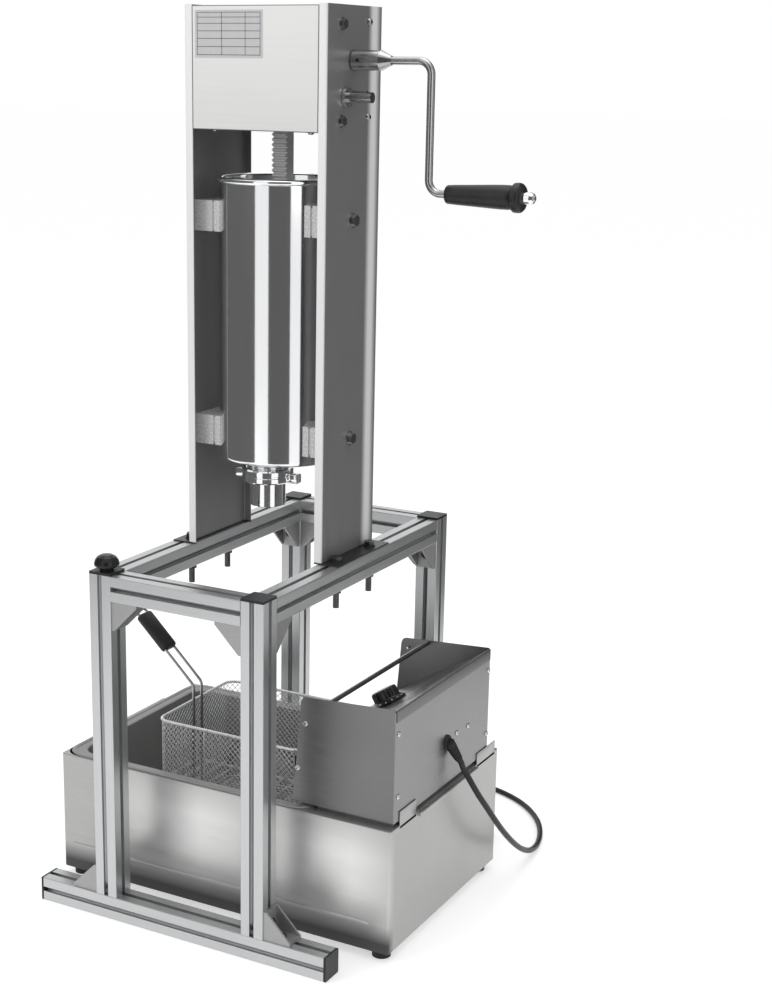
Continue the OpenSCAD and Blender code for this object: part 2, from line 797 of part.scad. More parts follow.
// Gearbox case: an open-fronted box between the side plates
module gearbox_case() set_out() color(dark) difference() {
    round_block(-plate_in, plate_in, case_front, case_back, case_z, case_top, bend_r - sheet_t + 1);
    block(-plate_in + case_wall, plate_in - case_wall, case_front - 1, case_back - case_wall,
        case_z + case_wall, case_top - case_wall);
    block(-rack_hole / 2, rack_hole / 2, press_y - rack_hole / 2, press_y + rack_hole / 2,
        case_z - 1, case_top + 1);
    mirror_x() side_holes();
    wall_bush_holes();
    for (x = cover_screw_xs())
        rod_z(x, cover_screw_y, case_z - 1, case_z + case_wall + 1, 5.4);
}
rack_hole = rack_w + 3;
function cover_screw_xs() = [-76, 94];
cover_screw_y = case_front + cover_lip / 2;

module gearbox_cover() set_out() color(bright) difference() {
    w = flange_in - slip;
    union() {
        block(-w, w, tower_front, case_front, case_z - sheet_t, case_top + sheet_t);
        block(-w, w, tower_front, case_front + cover_lip, case_top, case_top + sheet_t);
        block(-w, w, tower_front, case_front + cover_lip, case_z - sheet_t, case_z);
    }
    for (x = cover_screw_xs())
        rod_z(x, cover_screw_y, case_z - sheet_t - 1, case_z + 1, 5.4);
}

module gearbox_bolts() set_out() color(dark) {
    mirror_x() {
        for (z = front_bolt_zs()) {
            translate([tower_half, front_bolt_y, z]) rotate([0, 90, 0]) hex_bolt(8, 16, 18, 2);
            translate([plate_in - case_wall, front_bolt_y, z]) rotate([0, 90, 0])
                hex_nut(8, 17, 1.6, 0);
        }
        for (z = rear_bolt_zs()) {
            translate([tower_half, rear_bolt_y, z]) rotate([0, 90, 0])
                button_screw(6, 14, 11, 5);
            translate([plate_in - case_wall, rear_bolt_y, z]) rotate([0, 90, 0])
                hex_nut(6, 12, 1.2, 0);
        }
    }
    for (x = cover_screw_xs())
        translate([x, cover_screw_y, case_z - sheet_t]) mirror([0, 0, 1])
            button_screw(5, sheet_t + case_wall + 1, 10, 3);
}

module bearing_plates() set_out() color(dark) difference() {
    union() {
        block(-left_bearing_x, -left_bearing_x + bearing_t, slow_y - 34, case_back - 60,
            case_z + case_wall, case_top - case_wall);
        block(right_bearing_x, right_bearing_x + bearing_t, slow_y - 34, case_back - 40,
            case_z + case_wall, case_top - case_wall);
    }
    rod_x(-left_bearing_x - 1, -left_bearing_x + bearing_t + 1, slow_y, slow_z, bush_d + 0.2);
    rod_x(right_bearing_x - 1, right_bearing_x + bearing_t + 1, slow_y, slow_z, bush_d + 0.2);
    rod_x(right_bearing_x - 1, right_bearing_x + bearing_t + 1, fast_y, fast_z, bush_d + 0.2);
}
// Bush along +X with its flange on the -X side
module bush(l) {
    rotate([0, 90, 0]) difference() {
        union() {
            cylinder(d = bush_d, h = l);
            translate([0, 0, -1.5]) cylinder(d = bush_flange_d, h = 1.5);
        }
        translate([0, 0, -3]) cylinder(d = shaft_d + 2 * run_fit, h = l + 6);
    }
}
module shaft_bushes() set_out() color("goldenrod") {
    wall_x = plate_in - case_wall;
    translate([wall_x, slow_y, slow_z]) bush(case_wall + sheet_t);
    translate([wall_x, fast_y, fast_z]) bush(case_wall + sheet_t);
    translate([right_bearing_x + bearing_t, slow_y, slow_z]) mirror([1, 0, 0]) bush(bearing_t);
    translate([right_bearing_x + bearing_t, fast_y, fast_z]) mirror([1, 0, 0]) bush(bearing_t);
    translate([-left_bearing_x, slow_y, slow_z]) bush(bearing_t);
}
// Guides for the rack on the floor and under the roof of the case
module rack_guides() set_out() color("ivory") difference() {
    for (z = [case_z + case_wall, case_top - case_wall - guide_h])
        block(-guide_w / 2, guide_w / 2, press_y - guide_d / 2, press_y + guide_d / 2,
            z, z + guide_h);
    block(-rack_w / 2 - guide_play, rack_w / 2 + guide_play, rack_front - guide_play,
        rack_front + rack_w + guide_play, case_z, case_top);
}

// Involute gear, its axis on Z and the middle of a tooth on +X
function involute_offset(a) = (tan(a) - a * PI / 180) * 180 / PI;
module gear_2d(m, n, play) {
    r = m * n / 2;
    rb = r * cos(pressure_angle);
    tip = r + m;
    root = r - 1.25 * m;
    half = 90 / n - play / 4 / r * 180 / PI + involute_offset(pressure_angle);
    start = max(rb, root + 0.01);
    steps = 5;
    radii = [for (i = [0:steps]) start + (tip - start) * i / steps];
    angles = [for (p = radii) half - involute_offset(acos(min(1, rb / p)))];
    flank = [for (i = [0:steps]) [radii[i], angles[i]]];
    tooth = concat([[root, -angles[0]]], [for (f = flank) [f[0], -f[1]]],
        [for (i = [steps:-1:0]) flank[i]], [[root, angles[0]]]);
    polygon([for (k = [0:n - 1]) for (p = tooth)
        [p[0] * cos(p[1] + 360 * k / n), p[0] * sin(p[1] + 360 * k / n)]]);
}
module keyed_hole_2d() {
    circle(r = shaft_r + run_fit);
    translate([0, -key_w / 2 - 0.1]) square([key_top + slip, key_w + 0.2]);
}
// Extrudes a shape drawn in Y and Z along X, turned by an angle
module along_x(x, y, z, l, turn) {
    translate([x, y, z]) rotate([90, 0, 90]) linear_extrude(l) rotate(turn) children();
}

module pinion_shaft() set_out() color(steel) {
    rod_x(-left_bearing_x - 4, tower_half + slow_stub, slow_y, slow_z, shaft_d);
    along_x(-rack_pinion_w / 2, slow_y, slow_z, rack_pinion_w, 90)
        translate([0, -key_w / 2]) square([key_top, key_w]);
    along_x(gear_x, slow_y, slow_z, gear_w, 90)
        translate([0, -key_w / 2]) square([key_top, key_w]);
    along_x(hub_x + collar_w + 4, slow_y, slow_z, 26, 90)
        translate([0, -key_w / 2]) square([key_top, key_w]);
}
module rack_pinion() set_out() color(steel)
    along_x(-rack_pinion_w / 2, slow_y, slow_z, rack_pinion_w, 0) difference() {
        gear_2d(rack_module, rack_pinion_teeth, backlash);
        rotate(90) keyed_hole_2d();
    }
module large_gear() set_out() color(steel)
    along_x(gear_x, slow_y, slow_z, gear_w, 0) difference() {
        rotate(mesh_angle) gear_2d(gear_module, large_teeth, backlash);
        rotate(90) keyed_hole_2d();
    }
module shaft_collar() set_out() color(steel) difference() {
    rod_x(tower_half + 1, tower_half + 1 + collar_w, slow_y, slow_z, collar_d);
    rod_x(tower_half, tower_half + 2 + collar_w, slow_y, slow_z, shaft_d + 2 * run_fit);
}
module crank_shaft() set_out() color(steel) {
    rod_x(gear_x - 2, tower_half + fast_stub, fast_y, fast_z, shaft_d);
    along_x(gear_x, fast_y, fast_z, gear_w, 90)
        translate([0, -key_w / 2]) square([key_top, key_w]);
    along_x(hub_x + 4, fast_y, fast_z, 26, 90)
        translate([0, -key_w / 2]) square([key_top, key_w]);
}
module small_pinion() set_out() color(steel)
    along_x(gear_x, fast_y, fast_z, gear_w, 0) difference() {
        rotate(mesh_angle + 180 + 180 / small_teeth)
            gear_2d(gear_module, small_teeth, backlash);
        rotate(90) circle(r = shaft_r + run_fit);
        rotate(90) translate([0, -key_w / 2 - 0.1]) square([key_top + slip / 3, key_w + 0.2]);
    }

// Rack with a gap opposite the pinion's axis
module rack() set_out() color(steel) {
    tip_y = rack_front;
    root_y = rack_front + 2.25 * rack_module;
    tip_half = rack_pitch / 4 - backlash / 4 - rack_module * tan(pressure_angle);
    root_half = rack_pitch / 4 - backlash / 4 + 1.25 * rack_module * tan(pressure_angle);
    first = ceil((rack_z + 12 - slow_z) / rack_pitch);
    last = floor((rack_z + rack_l - 6 - slow_z) / rack_pitch) - 1;
    difference() {
        translate([-rack_w / 2, 0, 0]) rotate([90, 0, 90]) linear_extrude(rack_w)
            polygon(concat([[rack_front + rack_w, rack_z + rack_l],
                [rack_front + rack_w, rack_z], [tip_y, rack_z],
                [tip_y, slow_z + first * rack_pitch - tip_half],
                [root_y, slow_z + first * rack_pitch + rack_pitch / 2 - root_half - 0.6]],
                [for (k = [first:last]) for (p = [[root_y, -root_half], [tip_y, -tip_half],
                    [tip_y, tip_half], [root_y, root_half]])
                    [p[0], slow_z + (k + 0.5) * rack_pitch + p[1]]],
                [[root_y, rack_z + rack_l]]));
        rod_z(0, press_y, rack_z - 1, rack_z + 30, piston_bolt_d + 2 * thread_fit);
    }
}
// Piston with a groove for its seal and a recess for its bolt's head
module piston() set_out() color(steel) translate([0, press_y, piston_z]) difference() {
    cylinder(r = piston_r, h = piston_t, $fn = 96);
    translate([0, 0, (piston_t - seal_h) / 2]) difference() {
        cylinder(r = piston_r + 1, h = seal_h, $fn = 96);
        translate([0, 0, -1]) cylinder(r = piston_r - seal_groove, h = seal_h + 2, $fn = 96);
    }
    translate([0, 0, -1]) cylinder(d = piston_bolt_d + 1, h = piston_t + 2);
    translate([0, 0, -1]) cylinder(d = piston_bolt_d * 2, h = piston_bolt_d * 0.7 + 2);
}
module piston_seal() set_out() color(black) translate([0, press_y, piston_z])
    translate([0, 0, (piston_t - seal_h) / 2 + 0.1]) difference() {
        cylinder(r = barrel_in - 0.08, h = seal_h - 0.2, $fn = 96);
        translate([0, 0, -1]) cylinder(r = piston_r - seal_groove + 0.1, h = seal_h + 2, $fn = 96);
    }
module piston_bolt() set_out() color(steel)
    translate([0, press_y, piston_z + piston_bolt_d * 0.7 + 1]) {
        translate([0, 0, -piston_bolt_d * 0.7]) cylinder(d = piston_bolt_d * 1.6,
            h = piston_bolt_d * 0.7, $fn = 6);
        translate([0, 0, -1]) cylinder(d = piston_bolt_d, h = piston_t - piston_bolt_d * 0.7 + 25);
    }

// A quarter or smaller bend of round bar, its centre on Z, from +X toward +Y
module bar_bend(r, d, a) rotate_extrude(angle = a) translate([r, 0]) circle(d = d, $fn = 32);

module crank_arm() set_out() color(steel) difference() {
    union() {
        rod_x(hub_x, hub_end, fast_y, fast_z, hub_d);
        translate([hub_end, fast_y, fast_z]) rotate([0, 90, 0])
            cylinder(d1 = hub_d, d2 = crank_bar_d + 2, h = hub_cone);
        rod_x(cone_end - 1, arm_x - arm_bend_r, fast_y, fast_z, crank_bar_d);
        translate([arm_x - arm_bend_r, fast_y, fast_z - arm_bend_r]) rotate([90, 0, 0])
            bar_bend(arm_bend_r, crank_bar_d, 90);
        rod_z(arm_x, fast_y, grip_z + arm_bend_r, fast_z - arm_bend_r, crank_bar_d);
        translate([arm_x + arm_bend_r, fast_y, grip_z + arm_bend_r]) rotate([90, 180, 0])
            bar_bend(arm_bend_r, crank_bar_d, 90);
        rod_x(arm_x + arm_bend_r, grip_end + slip, fast_y, grip_z, crank_bar_d);
        rod_x(grip_end, grip_end + slip + grip_nut_l * 0.6, fast_y, grip_z, crank_bar_d - 2);
    }
    rod_x(hub_x - 1, hub_end - 2, fast_y, fast_z, shaft_d + 2 * run_fit);
    along_x(hub_x - 1, fast_y, fast_z, hub_l - 1, 90)
        translate([0, -key_w / 2 - 0.1]) square([key_top + slip, key_w + 0.2]);
    rod_y(hub_x + 12, fast_y - hub_d, fast_y, fast_z, 6.1);
}
module crank_screw() set_out() color(dark) difference() {
    rod_y(hub_x + 12, fast_y - hub_d / 2 + 0.8, fast_y - shaft_r - 0.25, fast_z, 6);
    translate([hub_x + 12, fast_y - hub_d / 2, fast_z]) rotate([-90, 0, 0])
        cylinder(d = 3.4, h = 3.6, $fn = 6);
}
module crank_grip() set_out() color(black) translate([grip_x, fast_y, grip_z])
    rotate([0, 90, 0]) difference() {
        rotate_extrude() polygon([[0, 0], [grip_d1 / 2 - 1, 0], [grip_d1 / 2, 1],
            [grip_d2 / 2, grip_l * 0.82], [grip_d2 / 2, grip_l - 2], [grip_d2 / 2 - 2, grip_l],
            [grip_flange_d / 2 - 2, grip_l + 2], [grip_flange_d / 2, grip_l + 4],
            [grip_flange_d / 2, grip_l + grip_flange_l * 0.6],
            [grip_flange_d * 0.4, grip_l + grip_flange_l * 0.9],
            [grip_flange_d * 0.28, grip_l + grip_flange_l], [0, grip_l + grip_flange_l]]);
        translate([0, 0, -1]) cylinder(d = crank_bar_d + 2 * run_fit, h = grip_l + 100);
    }
module grip_nut() set_out() color(bright) translate([grip_end + slip, fast_y, grip_z])
    rotate([0, 90, 0]) difference() {
        rotate_extrude() polygon([[0, 0], [grip_nut_d / 2, 0], [grip_nut_d / 2, grip_nut_l * 0.55],
            [grip_nut_d * 0.4, grip_nut_l * 0.85], [grip_nut_d * 0.2, grip_nut_l],
            [0, grip_nut_l]]);
        translate([0, 0, -1])
            cylinder(d = crank_bar_d - 2 + 2 * thread_fit, h = grip_nut_l * 0.62 + 1);
    }

// Barrel with a rolled rim, a flat bottom and an outlet in front of its axis
module barrel() set_out() color(bright) difference() {
    union() {
        translate([0, press_y, barrel_z]) difference() {
            cylinder(r = barrel_r, h = barrel_h - rim_roll_d / 2, $fn = 96);
            translate([0, 0, barrel_floor]) cylinder(r = barrel_in, h = barrel_h, $fn = 96);
        }
        translate([0, press_y, barrel_top - rim_roll_d / 2]) rotate_extrude($fn = 96)
            translate([barrel_in + rim_roll_d / 2, 0]) circle(d = rim_roll_d, $fn = 32);
        translate([0, outlet_y, spout_z]) cylinder(d = spout_d, h = spout_l + 1);
    }
    translate([0, outlet_y, spout_z - 1]) cylinder(d = spout_bore_d, h = spout_l + 20);
}
// Four blocks that hold the barrel between the side plates
module barrel_brackets() set_out() color(bright) difference() {
    y0 = press_y - block_d / 2;
    y1 = press_y + block_d / 2;
    in_x = plate_in - block_t;
    for (z = [upper_bracket_z, lower_bracket_z]) mirror_x() {
        block(in_x, plate_in, y0, y1, z - block_h / 2, z + block_h / 2);
        block(in_x - block_line, in_x, y0 + 3, y1 - 3, z - block_h / 2 + 3, z + block_h / 2 - 3);
        block(saddle_x, in_x - block_line, y0, y1, z - block_h / 2, z + block_h / 2);
    }
    translate([0, press_y, barrel_z - 1]) cylinder(r = barrel_r + saddle_play, h = barrel_h,
        $fn = 96);
    for (z = [upper_bracket_z, lower_bracket_z]) mirror_x()
        rod_x(barrel_r, plate_in + 1, press_y, z, block_bolt_d + 2 * thread_fit);
}
module bracket_bolts() set_out() color(steel)
    for (z = [upper_bracket_z, lower_bracket_z]) mirror_x()
        translate([tower_half, press_y, z]) rotate([0, 90, 0])
            hex_bolt(block_bolt_d, sheet_t + plate_in - barrel_r - 4, 22, 2);

// Ring nut with two lugs, threaded on the spout
module outlet_nut() set_out() color(bright) translate([0, outlet_y, ring_nut_z]) difference() {
    union() {
        cylinder(d = ring_nut_d, h = ring_nut_h);
        intersection() {
            translate([-lug_r, -lug_w / 2, 0]) cube([2 * lug_r, lug_w, ring_nut_h * 0.75]);
            cylinder(r = lug_r, h = ring_nut_h);
        }
    }
    translate([0, 0, -1]) cylinder(d = nozzle_d + 1, h = ring_nut_h + 2);
    translate([0, 0, 6]) cylinder(d = spout_d + 2 * thread_fit, h = ring_nut_h);
}
// Nozzle tube with the flange that the ring nut presses on the spout
module nozzle_tube() set_out() color(bright) translate([0, outlet_y, nozzle_z]) difference() {
    union() {
        cylinder(d = nozzle_d, h = nozzle_l + 1);
        translate([0, 0, nozzle_l]) cylinder(d = spout_d, h = nozzle_flange_t);
    }
    translate([0, 0, 2]) cylinder(d = nozzle_d - 2 * nozzle_wall, h = nozzle_l + 10);
    translate([0, 0, -1]) cylinder(d = nozzle_d - 2 * nozzle_wall - 6, h = 10);
}
module churro_die() set_out() color(steel) translate([0, outlet_y, nozzle_z + 2])
    linear_extrude(die_t) difference() {
        circle(d = nozzle_d - 2 * nozzle_wall - 0.2);
        polygon([for (i = [0:2 * star_points - 1]) let (r = i % 2 == 0 ? star_r : star_r * 0.62)
            [r * cos(180 * i / star_points), r * sin(180 * i / star_points)]]);
    }

// Fryer body, open above its tank, with hand lips and side tabs
module fryer_body() set_out() color(steel) {
    deck_x = tank_flange_x1 - tank_bead_w;
    mid_y = -fryer_y + 1;
    difference() {
        round_block(fryer_x0, fryer_x1, fryer_y0, fryer_y1, fryer_foot_h, fryer_top, fryer_r);
        round_block(fryer_x0 + fryer_t, fryer_x1 - fryer_t, fryer_y0 + fryer_t,
            fryer_y1 - fryer_t, fryer_foot_h + fryer_t, fryer_top - fryer_t, fryer_r - fryer_t);
        round_block(fryer_x0 + fryer_t, deck_x, fryer_y0 + fryer_t,
            fryer_y1 - fryer_t, fryer_top - 2 * fryer_t, fryer_top + 1, tank_flange_r - tank_bead_w);
    }
    block(fryer_x0 + 20, tank_flange_x1 + 110, fryer_y0 - 0.8, fryer_y0 + 0.2, 58, 62);
    block(fryer_x1 - fryer_t, fryer_x1, fryer_y0 + 31, fryer_y0 + 87, fryer_top - 1,
        fryer_top + 23);
    block(fryer_x1 - fryer_t, fryer_x1, fryer_y1 - 86, fryer_y1 - 14, fryer_top - 1,
        fryer_top + 19);
    lip_2d_at(fryer_x1 - 0.5, fryer_x1 + lip_out, mid_y);
    lip_2d_at(fryer_x0 - lip_out, fryer_x0 + 0.5, mid_y);
}
module lip_2d_at(x0, x1, mid_y) {
    translate([0, mid_y + lip_l / 2, 0]) rotate([90, 0, 0]) linear_extrude(lip_l)
        round_rect(x0, x1, fryer_top - 8, fryer_top - 1, 1.5);
}
module fryer_feet() set_out() color(black)
    for (x = [fryer_x0 + 23, fryer_x1 - 23], y = [fryer_y0 + 23, fryer_y1 - 23])
        rod_z(x, y, 0, fryer_foot_h, fryer_foot_d);

module oil_tank() set_out() color(steel) {
    fy0 = fryer_y0 + tank_inset;
    fy1 = fryer_y1 - tank_inset;
    difference() {
        union() {
            round_block(tank_x0 - tank_t, tank_x1 + tank_t, tank_y0 - tank_t, tank_y1 + tank_t,
                tank_floor_z - tank_t, fryer_top + tank_t, tank_r + tank_t);
            round_block(tank_flange_x0, tank_flange_x1, fy0, fy1, fryer_top,
                fryer_top + tank_bead_h, tank_flange_r);
        }
        round_block(tank_x0, tank_x1, tank_y0, tank_y1, tank_floor_z, fryer_top + 10, tank_r);
        round_block(tank_flange_x0 + tank_bead_w, tank_flange_x1 - tank_bead_w,
            fy0 + tank_bead_w, fy1 - tank_bead_w, fryer_top + tank_t, fryer_top + 10,
            tank_flange_r - tank_bead_w);
    }
}

// Guard: a wire rack on legs over the heating tubes
module element_guard() set_out() color(steel) {
    gx0 = tank_x0 + 10;
    gx1 = element_x - element_d / 2 - 8;
    gy0 = tank_y0 + 10;
    gy1 = tank_y1 - 10;
    w = guard_wire_d;
    low_z = guard_top - 1.5 * w + 0.4;
    count = floor((gx1 - gx0 - w) / guard_pitch);
    for (y = [gy0 + w / 2, -fryer_y - 30, -fryer_y + 30, gy1 - w / 2])
        rod_x(gx0, gx1, y, low_z, w);
    for (i = [0:count])
        rod_y(gx0 + w / 2 + i * (gx1 - gx0 - w) / count, gy0, gy1, guard_top - w / 2, w);
    for (x = [gx0 + w / 2, gx1 - w / 2], y = [gy0 + w / 2, gy1 - w / 2])
        rod_z(x, y, tank_floor_z, low_z, w);
}

// Heating tubes: nested loops that rise into the head
module heating_elements() set_out() color(dark) {
    bend = 20;
    top_z = head_z + head_t + 18;
    for (i = [0:element_count - 1]) {
        r = element_r + i * element_step;
        turn_x = element_x - 170 - i * 12;
        translate([turn_x, -fryer_y, element_z]) rotate([0, 0, 90])
            bar_bend(r, element_d, 180);
        for (s = [-1, 1]) {
            rod_x(turn_x, element_x - bend - seam, -fryer_y + s * r, element_z, element_d);
            translate([element_x - bend, -fryer_y + s * r, element_z + bend])
                rotate([90, 0, 0]) rotate([0, 0, -90]) bar_bend(bend, element_d, 90);
            rod_z(element_x, -fryer_y + s * r, element_z + bend, top_z, element_d);
        }
    }
    far = element_r + (element_count - 1) * element_step + 14;
    block(head_x + head_t + 0.2, element_x + 12, -fryer_y - far, -fryer_y + far, head_z + head_t,
        head_z + head_t + 3);
}

module cheek_2d() {
    top = head_z + head_h;
    low = top - cheek_drop;
    polygon([[head_x, head_z + 1], [head_x, head_z + 12], [head_x + 12, low - 10],
        [head_x + 13.5, low - 5], [head_x + 16.5, low - 1.5], [head_x + 21, low],
        [head_x1 - head_t, top], [head_x1 - head_t, head_z], [head_x + 1, head_z]]);
}
module head_case() set_out() color(dark) {
    difference() {
        union() {
            for (y = [head_y0, head_y1 - head_t])
                translate([0, y + head_t, 0]) rotate([90, 0, 0]) linear_extrude(head_t) cheek_2d();
            block(head_x, head_x + head_t, head_y0 + 0.5, head_y1 - 0.5, head_z,
                head_front_top - panel_drop - slip);
            block(head_x, head_x1 - head_t, head_y0 + 0.5, head_y1 - 0.5, head_z,
                head_z + head_t);
        }
        for (i = [0:element_count - 1], s = [-1, 1])
            rod_z(element_x, -fryer_y + s * (element_r + i * element_step), head_z - 1,
                head_z + head_t + 1, element_d + 0.6);
        for (p = cheek_screws())
            rod_y(p[0], head_y0 - 1, head_y0 + head_t + 1, p[1], 4.4);
        rod_y(far_screw[0], head_y1 - head_t - 1, head_y1 + 1, far_screw[1], 4.4);
    }
    // Plinth that carries the head on the fryer's deck
    difference() {
        block(tank_flange_x1 + 5, head_x1 - 5, head_y0 + 8, head_y1 - 8, fryer_top, head_z);
        block(tank_flange_x1 + 7, head_x1 - 7, head_y0 + 10, head_y1 - 10, fryer_top - 1,
            head_z + head_t / 2);
    }
}
function cheek_screws() = [[head_x + 20, head_z + 132], [head_x + 7, head_z + 56]];
far_screw = [head_x + 26, head_z + head_h - 25];
function back_screws() = [[head_y0 + 10, back_top - 37], [head_y0 + 12, head_z + 41],
    [head_y1 - 5, head_z + 34], [head_y1 - 5, back_top - 34],
    [gland_y + 37, gland_z + 3], [gland_y + 80, gland_z + 1]];
gland_y = -17;
gland_z = head_z + 72;
back_top = panel_z(head_x1 - head_t) - panel_drop - 0.3;

module head_back_panel() set_out() color(cast) difference() {
    block(head_x1 - head_t, head_x1, head_y0, head_y1, head_z, back_top);
    rod_x(head_x1 - 5, head_x1 + 5, gland_y, gland_z, lead_d + 6);
    for (p = back_screws())
        rod_x(head_x1 - 5, head_x1 + 5, p[0], p[1], 4.4);
}

// Sloping panel with a lip over the front wall and a flange over the back panel
module control_panel() set_out() color("silver") difference() {
    y0 = head_y0 + head_t + 0.2;
    y1 = head_y1 - head_t - 0.2;
    x2 = head_x1 + head_t;
    translate([0, y1, 0]) rotate([90, 0, 0]) linear_extrude(y1 - y0)
        polygon([[head_x - head_t, head_front_top - 9], [head_x, head_front_top - 9],
            [head_x, panel_z(head_x) - panel_drop],
            [head_x1, panel_z(head_x1) - panel_drop],
            [head_x1, panel_z(x2) - panel_flange], [x2, panel_z(x2) - panel_flange],
            [x2, panel_z(x2)], [head_x - head_t, panel_z(head_x - head_t)]]);
    on_panel() translate([0, 0, -10]) cylinder(d = spindle_d + 2, h = 20);
}
module on_panel() translate([dial_x, -dial_y, dial_z]) rotate([0, -panel_angle, 0]) children();

module small_screw() button_screw(4, 6, 9, 2.4);
module head_screws() set_out() color(bright) {
    for (p = cheek_screws())
        translate([p[0], head_y0, p[1]]) rotate([90, 0, 0]) small_screw();
    translate([far_screw[0], head_y1, far_screw[1]]) rotate([-90, 0, 0]) small_screw();
    for (p = back_screws())
        translate([head_x1, p[0], p[1]]) rotate([0, 90, 0]) small_screw();
}

// Knob: skirt, cone and fluted grip round a blind spindle hole
module temperature_knob() set_out() color(black) on_panel() difference() {
    rotate_extrude() polygon([[0, 1], [dial_skirt_d / 2, 1], [dial_skirt_d / 2, 3.5],
        [dial_grip_d / 2 + 1, 8], [dial_grip_d / 2, dial_h - 2.5],
        [dial_grip_d / 2 - 2.5, dial_h], [0, dial_h]]);
    for (i = [0:dial_flutes - 1]) rotate(360 * i / dial_flutes)
        translate([dial_grip_d / 2 + 0.9, 0, 9]) cylinder(r = 2.4, h = dial_h, $fn = 16);
    cylinder(d = spindle_d + 0.1, h = dial_h - 6);
}
module knob_spindle() set_out() color(steel) on_panel()
    translate([0, 0, -thermostat_h * 0.7]) cylinder(d = spindle_d, h = thermostat_h * 0.7 + dial_h - 6.5);
// Thermostat housing hung under the panel
module thermostat() set_out() color(cast) on_panel() difference() {
    union() {
        translate([0, 0, -head_t - 3]) cylinder(d = thermostat_d + 10, h = 3);
        translate([0, 0, -head_t - thermostat_h]) cylinder(d = thermostat_d, h = thermostat_h - 2);
    }
    translate([0, 0, -thermostat_h * 0.7 - 1]) cylinder(d = spindle_d + 0.1, h = thermostat_h);
}
module hanger_bar() set_out() color(bright)
    rod_y(hanger_x, head_y0 + head_t, head_y1 - head_t, hanger_z, hanger_d);

// Diamond openings for a mesh panel, X to l and Y to h, inside a plain margin
module mesh_2d(l, h) {
    nx = max(1, floor(l / mesh_pitch));
    ny = max(1, floor(h / mesh_pitch));
    hx = l / nx / 2 - mesh_strand * 0.7;
    hy = h / ny / 2 - mesh_strand * 0.7;
    for (k = [0, 1]) if (nx > k && ny > k) for (i = [0:nx - 1 - k], j = [0:ny - 1 - k])
        translate([(i + 0.5 + k / 2) * l / nx, (j + 0.5 + k / 2) * h / ny])
            polygon([[-hx, 0], [0, -hy], [hx, 0], [0, hy]]);
}
// Basket: mesh walls and floor, round upright corners and a rim, hair-thin joints apart
module wall_2d(l, h) difference() {
    square([l, h]);
    translate([3, 5]) mesh_2d(l - 6, h - 8);
}
module corner_strip(w, h) rotate_extrude(angle = 90) translate([basket_r - w / 2, 0]) square([w, h]);
module basket() set_out() color("silver") {
    x = [basket_x0 + rim_mid, basket_x1 - rim_mid];
    y = [basket_y0 + rim_mid, basket_y1 - rim_mid];
    t = mesh_t / 2;
    r = basket_r + seam;
    z = basket_z0 + mesh_t + seam;
    rim_z = basket_top - rim_wire_d;
    h = rim_z - seam - z;
    for (i = [0, 1]) {
        translate([x[0] + r, y[i] + t, z]) rotate([90, 0, 0]) linear_extrude(mesh_t)
            wall_2d(x[1] - x[0] - 2 * r, h);
        translate([x[i] - t, y[0] + r, z]) rotate([90, 0, 90]) linear_extrude(mesh_t)
            wall_2d(y[1] - y[0] - 2 * r, h);
        block(x[0] + r, x[1] - r, y[i] - rim_mid, y[i] + rim_mid, rim_z, basket_top);
        block(x[i] - rim_mid, x[i] + rim_mid, y[0] + r, y[1] - r, rim_z, basket_top);
        for (j = [0, 1]) translate([x[i] + (1 - 2 * i) * basket_r, y[j] + (1 - 2 * j) * basket_r, z])
            rotate([[180, 90], [270, 0]][i][j]) {
                corner_strip(mesh_t, h);
                translate([0, 0, rim_z - z]) corner_strip(rim_wire_d, rim_wire_d);
            }
    }
    translate([0, 0, basket_z0]) linear_extrude(mesh_t) difference() {
        round_rect(x[0] - t, x[1] + t, y[0] - t, y[1] + t, basket_r + t);
        translate([x[0] + 9, y[0] + 9]) mesh_2d(x[1] - x[0] - 18, y[1] - y[0] - 18);
    }
}
// Handle: two wires that climb inside the left wall and lean out over the rim
module handle_frame() translate([handle_x, 0, handle_bend_z])
    rotate([0, handle_angle - 180, 0]) children();
module basket_handle() set_out() color(steel) {
    lean = 90 - handle_angle;
    cut = handle_bend_r * tan(lean / 2);
    far = handle_reach + hgrip_l + 9;
    w = handle_wire_d;
    for (y = [handle_y1, handle_y2]) {
        rod_z(handle_x, y, basket_z0 + mesh_t + slip, handle_bend_z - cut, w);
        translate([handle_x - handle_bend_r, y, handle_bend_z - cut]) rotate([90, 0, 0])
            bar_bend(handle_bend_r, w, lean);
        handle_frame() rod_x(cut, far - 6, y, 0, w);
    }
    handle_frame() {
        translate([far - 6, handle_y2 - 6, 0]) bar_bend(6, w, 90);
        translate([far - 6, handle_y1 + 6, 0]) rotate([0, 0, -90]) bar_bend(6, w, 90);
        rod_y(far, handle_y1 + 6, handle_y2 - 6, 0, w);
    }
    // Cross wires that tie the two wires together below the rim and above it
    for (z = [basket_top - 60, basket_z0 + 30]) rod_y(handle_x, handle_y1, handle_y2, z, 4);
}
module basket_grip() set_out() color(black) handle_frame() difference() {
    translate([0, 0, -hgrip_t / 2]) linear_extrude(hgrip_t)
        round_rect(handle_reach, handle_reach + hgrip_l, -basket_y - hgrip_w / 2,
            -basket_y + hgrip_w / 2, 6);
    for (y = [handle_y1, handle_y2])
        rod_x(handle_reach - 1, handle_reach + hgrip_l + 1, y, 0, handle_wire_d + 0.1);
}

